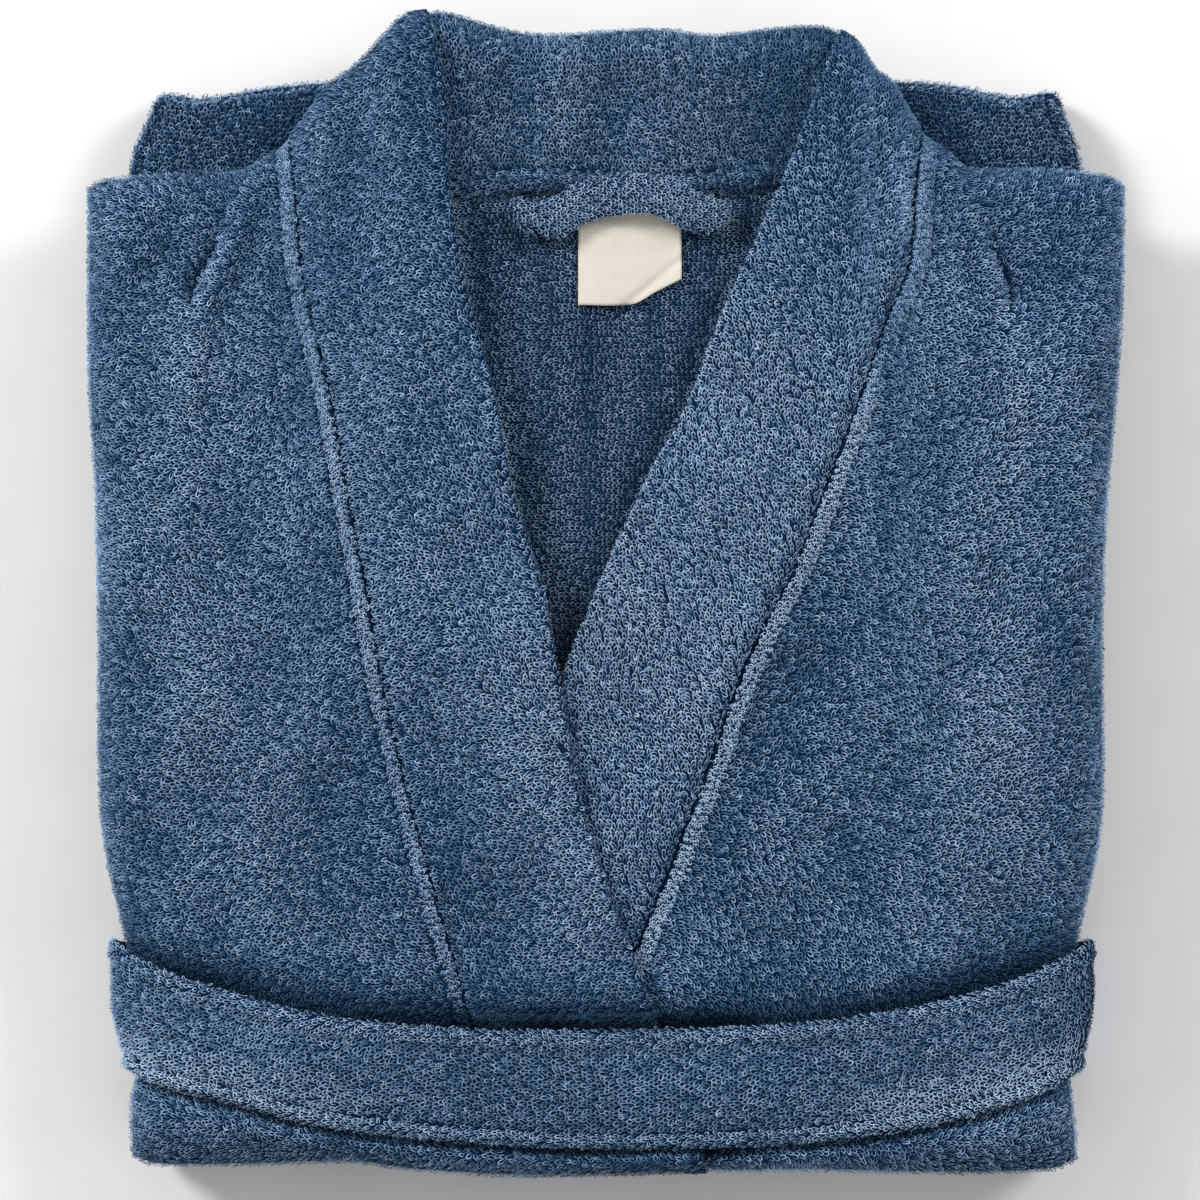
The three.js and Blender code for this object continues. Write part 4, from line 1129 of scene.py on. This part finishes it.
def make_collar_back():
    columns = Span(v_left, v_right, count_over(132))
    rows = Span(lambda x: neck_seam(x) - 0.6, top_edge, count_over(45), high_round=END_ROUND)

    def drop(x, y):
        above = y - neck_seam(x)
        fold = NECK_FOLD_SHARE * neck_folds(x) * smooth_step(4, 20, above)
        depth, groove = HEM_GROOVE
        ridge = NECK_RIDGE * fade(HEM - 3, HEM, above) - depth * bell(above - HEM, groove)
        lip = NECK_LIP * fade(-0.6, 1.4, above)
        swell = NECK_SWELL * fade(6, 34, x - v_left(y))
        at_left = swell * smooth_step(HEM - 4, HEM + 4, above)
        raised = under_collars(x, y, COLLAR_DROP - UNDER_BAND) + at_left
        return COLLAR_DROP - fold - ridge + lip - raised

    def below_collars(x, y):
        return UNDER_COLLAR * smooth_step(166, 186, y) * fade(1, 6, from_collars(x, y))

    def keep(x, y, z):
        return np.abs(y - neck_seam(x) - HEM) > 0.2

    def style(x, y):
        hem = y - neck_seam(x) < HEM
        # Painted light and shade: paler on the raised folds, darker towards the right end beside
        # the right collar, and half of the cloth's painted light and shade
        folds = np.where(hem, 0.0, 0.12 * neck_folds(x))
        ends = smooth_step(34, 66, x)
        return {
            "turn": np.where(hem, 84.0, 30.0),
            "long": LAID_LONG,
            "spread": np.where(hem, 24.0, 36.0),
            "tone": folds - 0.3 * ends + 0.5 * painted_cloth_light(x, y) - 0.15,
            "scale": np.where(hem, 0.85, 1.0),
        }

    grid = sunk(drape(columns, rows, drop), below_collars)
    feet = feet_on(grid, seeded(61))
    return dressed("collar_back", grid, feet, 62, PILE_NECK_SHADED, keep, style, tilt=LAID_TILT)


back, pile_back = make_back()
collar_back, pile_collar_back = make_collar_back()

# ---------- Hanging loop and label ----------
LOOP_SIDES = 20
LOOP_WALL = 0.3
FACING_UP = 0.1  # loops that would face down into the cloth below are left out


def make_hanging_loop():
    upper, lower = through(LOOP, 1), through(LOOP, 2)
    x = np.linspace(LOOP[0][0] + PILE, LOOP[-1][0] - PILE, 44)
    middle = (upper(x) + lower(x)) / 2
    half = np.maximum((upper(x) - lower(x)) / 2 - PILE * 0.8, 0.4)
    floor = level(x, middle, 0, COLLAR_DROP) + NECK_RIDGE + GAP
    thick = (LOOP_THICK - PILE) * np.minimum(1, half / 5)
    angle = np.linspace(0, 2 * math.pi, LOOP_SIDES + 1)[None, :] + math.pi / 2
    puffs = 1 + 0.05 * np.sin(x / 3.1)[:, None]
    seam_line = 0.9 * bell(np.mod(angle - 1.9, 2 * math.pi), 0.28)
    y = middle[:, None] + half[:, None] * np.cos(angle) * puffs
    z = floor[:, None] + thick[:, None] / 2 * (1 + np.sin(angle) * puffs) - seam_line
    grid = np.stack([np.broadcast_to(x[:, None], y.shape), y, z], axis=-1)
    cloth = make_cloth("cloth_hanging_loop", "hanging_loop", grid, LOOP_WALL)
    feet = feet_on(grid, seeded(71), pitch=1.6, row_pitch=1.4, normals=grid_normals(grid))
    feet = only(feet, feet[1][:, 2] > FACING_UP)
    pile = make_pile("pile_hanging_loop", feet, 72, PILE_NECK_SHADED, spread=20.0, scale=0.95, tone=0.04)
    return cloth, pile


LABEL_SPACING = 1.0
LABEL_THICK = 0.45
LABEL_LIFT = 0.7  # the label lies on the pile of the inner back


def make_label():
    left, right = LABEL[0][0], LABEL[-1][0]
    columns = Span(constant(left), constant(right), count_over(37, LABEL_SPACING))
    rows = Span(through(LABEL), constant(LABEL_UPPER), count_over(34, LABEL_SPACING))
    x, y, _ = meet(columns, rows, 0)
    curl = 1.6 * smooth_step(14, 27, x) * fade(108, 124, y)
    crease = 0.7 * bell((x - 18) * 0.64 - (y - 112) * 0.77, 1.6) * fade(118, 128, y)
    ripple = 0.25 * np.sin(x / 4.3 + y / 9) + 0.2 * np.sin(y / 5.1 - x / 13)
    z = level(x, y, 0, BACK_DROP) + GAP + curl - crease + ripple + LABEL_THICK
    grid = np.stack([x, y, z + LABEL_LIFT], axis=-1)
    return make_cloth("tape_label", "label", grid, LABEL_THICK, LABEL_TAPE)


hanging_loop, pile_loop = make_hanging_loop()
label = make_label()

# ---------- Belt ----------
BELT_HALF = BAND / 2 - PILE + 0.3
BELT_OUT = BELT_CLEAR + BAND / 2
BELT_EDGE = 1.8
BELT_STITCH = 5.4  # the sewn line above the lower edge
# height, distance from the edge and width of what runs along the belt
ALONG_UPPER = [(0.7, 4.0, 2.6), (-0.6, 8.0, 1.2)]
ALONG_LOWER = [(0.4, 2.4, 1.8), (-1.4, BELT_STITCH, 0.8)]
BELT_ROLL = 5.5  # how wide the roll along the upper edge is
# Painted light on the belt: highlights on its upper roll, its lower rim and towards its ends, and
# painted shade on the rest of its face
BELT_RIM_HIGHLIGHT = 0.44  # painted highlight on the lower rim, at the belt's ends
BELT_ROLL_HIGHLIGHT = 0.04
BELT_BODY_SHADE = -0.29
BELT_LOW_HIGHLIGHT = 0.52  # painted highlight at its ends, above the rim
BELT_END_HIGHLIGHT = 0.05
BELT_OFF_FLOOR = 3.4  # no loops stand lower
BELT_PLACES = 22
BELT_LOOSE = (0, 0.12, 0.45, 0.95, 1.8)  # distances from an edge, closer where it is round
BELT_WIDE = 43  # what those distances are shares of
BELT_ACROSS = 52  # stations on each half of the face
BELT_TURNS = 13  # and over each side
BELT_SETTLE = 12  # steps in which a station finds its place
BELT_DOWN = (9, 6, 14)  # stations down the side, round its foot and in below the packet


def belt_shares():
    """Distances across the belt as shares of its width, closer at its edges."""
    near = np.array(BELT_LOOSE) / BELT_WIDE
    middle = np.linspace(near[-1], 1 - near[-1], BELT_PLACES)[1:-1]
    return np.concatenate([near, middle, 1 - near[::-1]])


def belt_station(half_share, flat, sign):
    """One line across the belt on the packet's face."""
    share = belt_shares()
    edge = left_side if sign < 0 else right_side
    x = np.full(share.shape, sign * 150.0)
    y = np.full(share.shape, -150.0)
    for _ in range(BELT_SETTLE):
        y = belt_lower(x) + share * (belt_upper(x) - belt_lower(x))
        half = edge(y) + BELT_OUT
        x = sign * ((half - SIDE_ROUND) * half_share if flat else half - half_share * SIDE_ROUND)
    return np.stack([x, y, level(x, y, -BELT_OUT, -belt_pile(x))], axis=-1)


def belt_face():
    turns = 1 - np.cos(np.linspace(0, math.pi / 2, BELT_TURNS, endpoint=False))
    outward = np.linspace(0, 1, BELT_ACROSS + 1)
    inward = np.linspace(1, 0, BELT_ACROSS, endpoint=False)
    left = [belt_station(t, False, -1) for t in turns]
    left += [belt_station(s, True, -1) for s in inward]
    right = [belt_station(s, True, 1) for s in outward]
    return left + right + [belt_station(t, False, 1) for t in turns[::-1]]


def belt_down(station, sign):
    """From a face station down the packet's side and in below it, towards the middle."""
    share = belt_shares()
    low, high = BELT_UNDER
    under = low + share * (high - low)
    centre = BELT_CORNER + BAND
    radius = BELT_CORNER + BAND / 2

    def leaning(amount):
        return station[:, 1] * (1 - amount) + under * amount

    lines = []
    down, foot, below = BELT_DOWN
    for z in np.linspace(MID, centre, down)[1:]:
        y = leaning((MID - z) / MID)
        lines.append(np.stack([station[:, 0], y, np.full(y.shape, z)], axis=-1))
    for turn in np.radians(np.linspace(0, 90, foot))[1:]:
        y = leaning(0.8 + math.degrees(turn) / 450)
        x = station[:, 0] - sign * radius * (1 - math.cos(turn))
        lines.append(np.stack([x, y, np.full(y.shape, centre - radius * math.sin(turn))], -1))
    last = lines[-1]
    for amount in np.linspace(0, 1, below)[1:-1]:
        lines.append(np.stack([last[:, 0] * (1 - amount), under, last[:, 2]], -1))
    return lines


def belt_middle():
    face = belt_face()
    left, right = belt_down(face[0], -1), belt_down(face[-1], 1)
    return np.array(left[::-1] + face + right)


def off_belt_stitch(x, y, z):
    """Not along the sewn line, nor against the floor."""
    line = 0.7 - 0.4 * smooth_step(90, 130, np.abs(x))
    stitched = (np.abs(y - belt_lower(x) - BELT_STITCH) < line) & (z > MID)
    return (z > BELT_OFF_FLOOR) & ~stitched


def belt_style(x, y):
    rim = y - belt_lower(x) < BELT_STITCH
    roll = belt_upper(x) - y < BELT_ROLL
    # the painted highlights grow towards the belt's ends, more on the right
    ends = smooth_step(60, 115, np.abs(x)) * np.where(x > 0, 1.5, 1.0)
    low = fade(5, 21, y - belt_lower(x))
    body = BELT_LOW_HIGHLIGHT * ends * low + BELT_END_HIGHLIGHT * ends + BELT_BODY_SHADE
    return {
        "spread": 22.0,
        "long": LAID_LONG,
        "tone": np.where(rim, BELT_RIM_HIGHLIGHT * ends, np.where(roll, BELT_ROLL_HIGHLIGHT, body)),
        "scale": np.where(rim | roll, 0.85, 1.05),
        "wide": 1.0,
    }


def make_belt():
    middle = belt_middle()
    share = belt_shares()[None, :]
    normal = grid_normals(middle, ringed=True)
    if normal[len(normal) // 2, share.size // 2, 2] < 0:
        normal = -normal
    width = np.linalg.norm(middle[:, -1] - middle[:, 0], axis=1)[:, None]
    place = share * width
    edge = np.minimum(place, width - place)
    half = BELT_HALF * rounding(edge / BELT_EDGE)
    relief = sum(h * bell(width - place - at, wide) for h, at, wide in ALONG_UPPER)
    relief = relief + sum(h * bell(place - at, wide) for h, at, wide in ALONG_LOWER)
    shaped = relief * smooth_step(0, 2.0, edge)
    outer = middle + normal * (half + shaped)[..., None]
    inner = middle - normal * half[..., None]
    stations, places = outer.shape[:2]
    points = np.concatenate([outer.reshape(-1, 3), inner.reshape(-1, 3)])
    over = triangles_of(stations, places, ringed=True)
    points, faces, _ = merged(points, np.concatenate([over[:, ::-1], over + len(outer) * places]))
    cloth = new_object("cloth_belt", points, faces, GROUND)
    feet = feet_on(outer, seeded(81), normals=-grid_normals(outer, ringed=True))
    pile = make_pile("pile_belt", feet, 82, PILE_FRONT, off_belt_stitch, belt_style, tilt=LAID_TILT)
    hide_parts("belt")
    return cloth, pile


belt, pile_belt = make_belt()

# ---------- Folded skirt ----------
# from z, to z, inset, shift, phase of its waver, further inset of the ears' sides:
# the skirt's layers, from the bottom one up
SKIRT_LAYERS = [
    (0.3, 4.6, 1.9, 0.6, 0.0, 0.0), (4.4, 8.8, 1.1, 0.6, 1.3, 0.0),
    (8.4, 12.8, 0.2, 0.0, 2.9, 0.0), (12.6, 17.0, 0.7, 0.0, 4.1, 0.0),
    (16.6, 21.0, 1.6, -0.8, 5.2, 0.0), (20.8, 25.0, 2.2, -0.8, 0.7, 4.5),
]
# x, y: clockwise from the lower edge
SKIRT = [
    (-30, -209.2), (-72, -207), (-158, -205.5), (-167, -203.5), (-171, -185), (-166, -172),
    (-167.5, -124), (-173, -95), (-175, 60), (-174, 150), (-172.5, 163), (-167.5, 171),
    (-165.5, 181), (-161.5, 184), (-149, 180.5), (-118, 185.5), (-92, 187.5), (92, 187.5),
    (120, 187), (150, 181), (162, 184.5), (166, 183), (168, 172), (172.5, 163), (174, 150),
    (175, 60), (172, -95), (165, -124), (163, -172), (169.5, -187), (167.5, -204), (158, -207.5),
    (60, -207.4),
]
SKIRT_SPACING = 4.4
SKIRT_WAVER = 0.45
SKIRT_EDGE = 2.2  # how far in a layer's rounded edge reaches
LEDGE_LINE = 1.3  # bare beside the next layer's edge
LEDGE_UNDER = 7.0  # how far loops go on under the upper fold
LEDGE_X, LEDGE_Y = (-180, 180), (-214, 192)
LEDGE_JITTER = 0.25
SKIRT_OFF_FLOOR = 2.6
BULGE = 0.85  # a layer's side is bare in the grooves, where it faces up or down more than this


def skirt_outline(inset, shift, phase, ear):
    """A layer's outline, evenly spaced, and the directions into it."""
    corners = np.array(SKIRT, float)
    loop = np.concatenate([corners, corners[:1]])
    run = run_of(loop)
    places = np.arange(0, run[-1], SKIRT_SPACING)
    line = np.stack([np.interp(places, run, loop[:, k]) for k in range(2)], axis=1)
    line = (np.roll(line, 1, 0) + 2 * line + np.roll(line, -1, 0)) / 4
    heading = unit(np.roll(line, -1, 0) - np.roll(line, 1, 0))
    inward = np.stack([heading[:, 1], -heading[:, 0]], axis=1)
    waver = SKIRT_WAVER * (np.sin(places / 13 + phase) + np.sin(places / 29 + 2 * phase))
    at_end = np.abs(line[:, 1]) > 155
    moved = line + inward * (inset + PILE * 0.8 + np.abs(waver))[:, None]
    moved[:, 0] += shift - np.sign(line[:, 0]) * ear * ear_side(line)
    moved[:, 1] += np.where(at_end, np.sign(line[:, 1]) * shift, 0)
    return moved, inward


def ear_side(line):
    """1 along the upright sides of the two corners that stand out behind the shoulders."""
    return smooth_step(146, 152, line[:, 1]) * smooth_step(156, 161, np.abs(line[:, 0]))


def skirt_layer(row):
    """A layer's side as a grid, and the whole slab's points and faces."""
    low, high, *shape = row
    line, inward = skirt_outline(*shape)
    turn = np.radians(np.linspace(-90, 90, 7))
    z = (low + high) / 2 + (high - low) / 2 * np.sin(turn)
    away = SKIRT_EDGE * (1 - np.cos(turn))
    flat = line[:, None, :] + inward[:, None, :] * away[None, :, None]
    side = np.concatenate([flat, np.broadcast_to(z[None, :, None], (*flat.shape[:2], 1))], -1)
    count, places = side.shape[:2]
    faces = [triangles_of(count, places, ringed=True)]
    centres = np.array([[0, 0, low], [0, 0, high]], float)
    ring = np.arange(count)
    after = (ring + 1) % count
    bottom = np.full(count, count * places)
    faces.append(np.stack([ring * places, after * places, bottom], 1))
    top = places - 1
    faces.append(np.stack([after * places + top, ring * places + top, bottom + 1], 1))
    return side, np.concatenate([side.reshape(-1, 3), centres]), np.concatenate(faces)


def inside(x, y, outline):
    """Whether places lie inside a closed outline."""
    x1, y1 = outline[:, 0], outline[:, 1]
    x2, y2 = np.roll(x1, -1), np.roll(y1, -1)
    crosses = (y1[None] > y[:, None]) != (y2[None] > y[:, None])
    rise = np.where(y2 == y1, 1e-9, y2 - y1)
    at = x1 + (y[:, None] - y1) * (x2 - x1) / rise
    return (np.sum(crosses & (x[:, None] < at), axis=1) % 2) == 1


def ledge_feet(rng, outline, z, upper=None):
    """Places on a layer that stand out from under the upper fold, and from the layer above."""
    x, y = np.meshgrid(np.arange(*LEDGE_X, PITCH), np.arange(*LEDGE_Y, ROW_PITCH))
    x = (x + PITCH / 2 * (np.arange(x.shape[0])[:, None] % 2)).ravel()
    y = y.ravel()
    x = x + rng.uniform(-LEDGE_JITTER, LEDGE_JITTER, x.size)
    y = y + rng.uniform(-LEDGE_JITTER, LEDGE_JITTER, y.size)
    y = y + 1.3 * np.sin(x / 11) + 0.8 * np.sin(x / 4.3 + 1)
    half = np.where(x < 0, left_side(y), right_side(y))
    across = np.abs(x) < half - LEDGE_UNDER
    covered = across & (y < top_edge(x) - LEDGE_UNDER) & (y > bottom_edge(x) + LEDGE_UNDER)
    chosen = inside(x, y, outline) & ~covered
    if upper is not None:
        chosen &= ~inside(x, y, upper)
    base = np.stack([x[chosen], y[chosen], np.full(chosen.sum(), z)], axis=1)
    normal = np.tile([0.0, 0.0, 1.0], (len(base), 1))
    along = np.tile([1.0, 0.0, 0.0], (len(base), 1))
    return base, normal, along


def make_skirt():
    points, faces, feet = [], [], []
    total = 0
    for k, row in enumerate(SKIRT_LAYERS):
        side, layer_points, layer_faces = skirt_layer(row)
        points.append(layer_points)
        faces.append(layer_faces + total)
        total += len(layer_points)
        normals = grid_normals(side, ringed=True)
        side, normals = (np.concatenate([part, part[:1]]) for part in (side, normals))
        on_side = feet_on(side, seeded(91 + k), pitch=2.2, row_pitch=1.85, normals=normals)
        feet.append(only(on_side, np.abs(on_side[1][:, 2]) < BULGE))
    cloth = new_object("cloth_skirt", np.concatenate(points), np.concatenate(faces), GROUND)
    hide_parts("folded_layers")
    top, below = SKIRT_LAYERS[-1], SKIRT_LAYERS[-2]
    wider = skirt_outline(top[2] - LEDGE_LINE, *top[3:])[0]
    feet.append(ledge_feet(seeded(99), skirt_outline(*top[2:])[0], top[1]))
    feet.append(ledge_feet(seeded(98), skirt_outline(*below[2:])[0], below[1], wider))
    feet = joined(feet)
    feet = only(feet, off_belt_side(*feet[0].T))
    return cloth, make_pile("pile_skirt", feet, 101, PILE_HIDDEN_SHADED, **skirt_style(*feet[:2]))


def skirt_style(base, normal):
    """Painted shade: darker on top, in the upper fold's shade, and most of all beside the packet's
    middle; the sides painted lighter where they stand upright.
    """
    on_top = normal[:, 2] > 0.99
    shaded = 0.3 + 0.24 * fade(120, 146, np.abs(base[:, 0]))
    tone = np.where(on_top, -shaded, 0.4 * (1 - np.abs(normal[:, 2])) - 0.3)
    return {"tone": tone, "scale": np.where(on_top, 1.0, 1.12)}


def off_belt_side(x, y, z):
    """Not behind the belt, nor against the floor."""
    low, high = BELT_UNDER
    share = (MID - z) / MID
    top = belt_upper(x) * (1 - share) + high * share
    bottom = belt_lower(x) * (1 - share) + low * share
    behind = (y > bottom + 2) & (y < top - 2) & (np.abs(x) > 150)
    return ~behind & (z > SKIRT_OFF_FLOOR)


skirt, pile_skirt = make_skirt()

# ---------- What each cloth was cut to ----------
# cloth, pile, slot, width and length in metres, what it lies on
CUTS = [
    (front_left, pile_left, "terry", 0.13, 0.42, ["cloth_skirt"]),
    (front_right, pile_right, "terry", 0.145, 0.42, ["cloth_skirt"]),
    (
        collar_left, pile_collar_left, "terry_collar", 0.085, 0.42,
        ["cloth_collar_right", "cloth_front_left"],
    ),
    (
        collar_right, pile_collar_right, "terry_collar", 0.075, 0.33,
        ["cloth_front_right", "cloth_skirt"],
    ),
    (collar_back, pile_collar_back, "terry_collar", 0.14, 0.085, ["cloth_skirt"]),
    (back, pile_back, "terry_inner", 0.085, 0.178, ["cloth_skirt"]),
    (hanging_loop, pile_loop, "terry_collar", 0.085, 0.03, ["cloth_collar_back"]),
    (belt, pile_belt, "terry_belt", 0.045, 0.83, ["cloth_front_left", "cloth_front_right"]),
    (skirt, pile_skirt, "terry_hidden", 1.25, 0.75, ["floor"]),
]
for cloth, pile, slot, width, length, below in CUTS:
    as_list(below)

# ---------- Floor, light and camera ----------
FLOOR_DULL = linear(244, 244, 243)
FLOOR_PALE = linear(248, 248, 247)
CAMERA_HEIGHT = 2.5
FRAME_WIDTH = 0.432  # what the picture takes in, at the packet's widest line
FRAME_CENTRE = (-0.00216 + ORIGIN[0] / 1000, -0.00234 + ORIGIN[1] / 1000)
SENSOR = 36.0
FLOOR_HALF = 3.0
# name, place, width, watts, tint
LAMPS = [
    ("key", (-1.6, 1.3, 1.4), 0.6, 42.0, (1.0, 0.99, 0.98)),
    ("second", (1.6, 1.2, 1.5), 0.8, 24.0, (0.99, 0.99, 1.0)),
]


def make_floor():
    corners = [(x * FLOOR_HALF, y * FLOOR_HALF, 0) for x, y in [(-1, -1), (1, -1), (1, 1), (-1, 1)]]
    material, tree, shader = node_tree("floor_paper")
    paper = ramp(tree, noise(tree, 30.0), [(0.3, FLOOR_DULL), (0.7, FLOOR_PALE)])
    tree.links.new(paper, shader.inputs["Base Color"])
    shader.inputs["Roughness"].default_value = 0.9
    mesh = bpy.data.meshes.new("floor")
    mesh.from_pydata(corners, [], [(0, 1, 2, 3)])
    mesh.materials.append(material)
    floor = bpy.data.objects.new("floor", mesh)
    bpy.context.scene.collection.objects.link(floor)


def make_lamp(name, place, size, watts, tint):
    """A square soft lamp that faces the packet."""
    lamp = bpy.data.lights.new(name, "AREA")
    lamp.shape = "SQUARE"
    lamp.size = size
    lamp.energy = watts
    lamp.color = tint
    made = bpy.data.objects.new(name, lamp)
    made.location = place
    made.rotation_mode = "QUATERNION"
    made.rotation_quaternion = Vector(-np.array(place)).to_track_quat("-Z", "Y")
    bpy.context.scene.collection.objects.link(made)


def make_surroundings(strength):
    world = bpy.data.worlds.new("studio")
    world.use_nodes = True
    background = world.node_tree.nodes["Background"]
    background.inputs["Color"].default_value = (1.0, 1.0, 1.0, 1.0)
    background.inputs["Strength"].default_value = strength
    bpy.context.scene.world = world


def make_camera():
    camera = bpy.data.cameras.new("camera")
    camera.sensor_width = SENSOR
    camera.lens = SENSOR * (CAMERA_HEIGHT - MID / 1000) / FRAME_WIDTH
    camera.clip_end = 20
    made = bpy.data.objects.new("camera", camera)
    made.location = (*FRAME_CENTRE, CAMERA_HEIGHT)
    bpy.context.scene.collection.objects.link(made)
    bpy.context.scene.camera = made


make_floor()
for lamp in LAMPS:
    make_lamp(*lamp)
make_surroundings(0.5)
make_camera()
bpy.context.scene.view_settings.view_transform = "Standard"
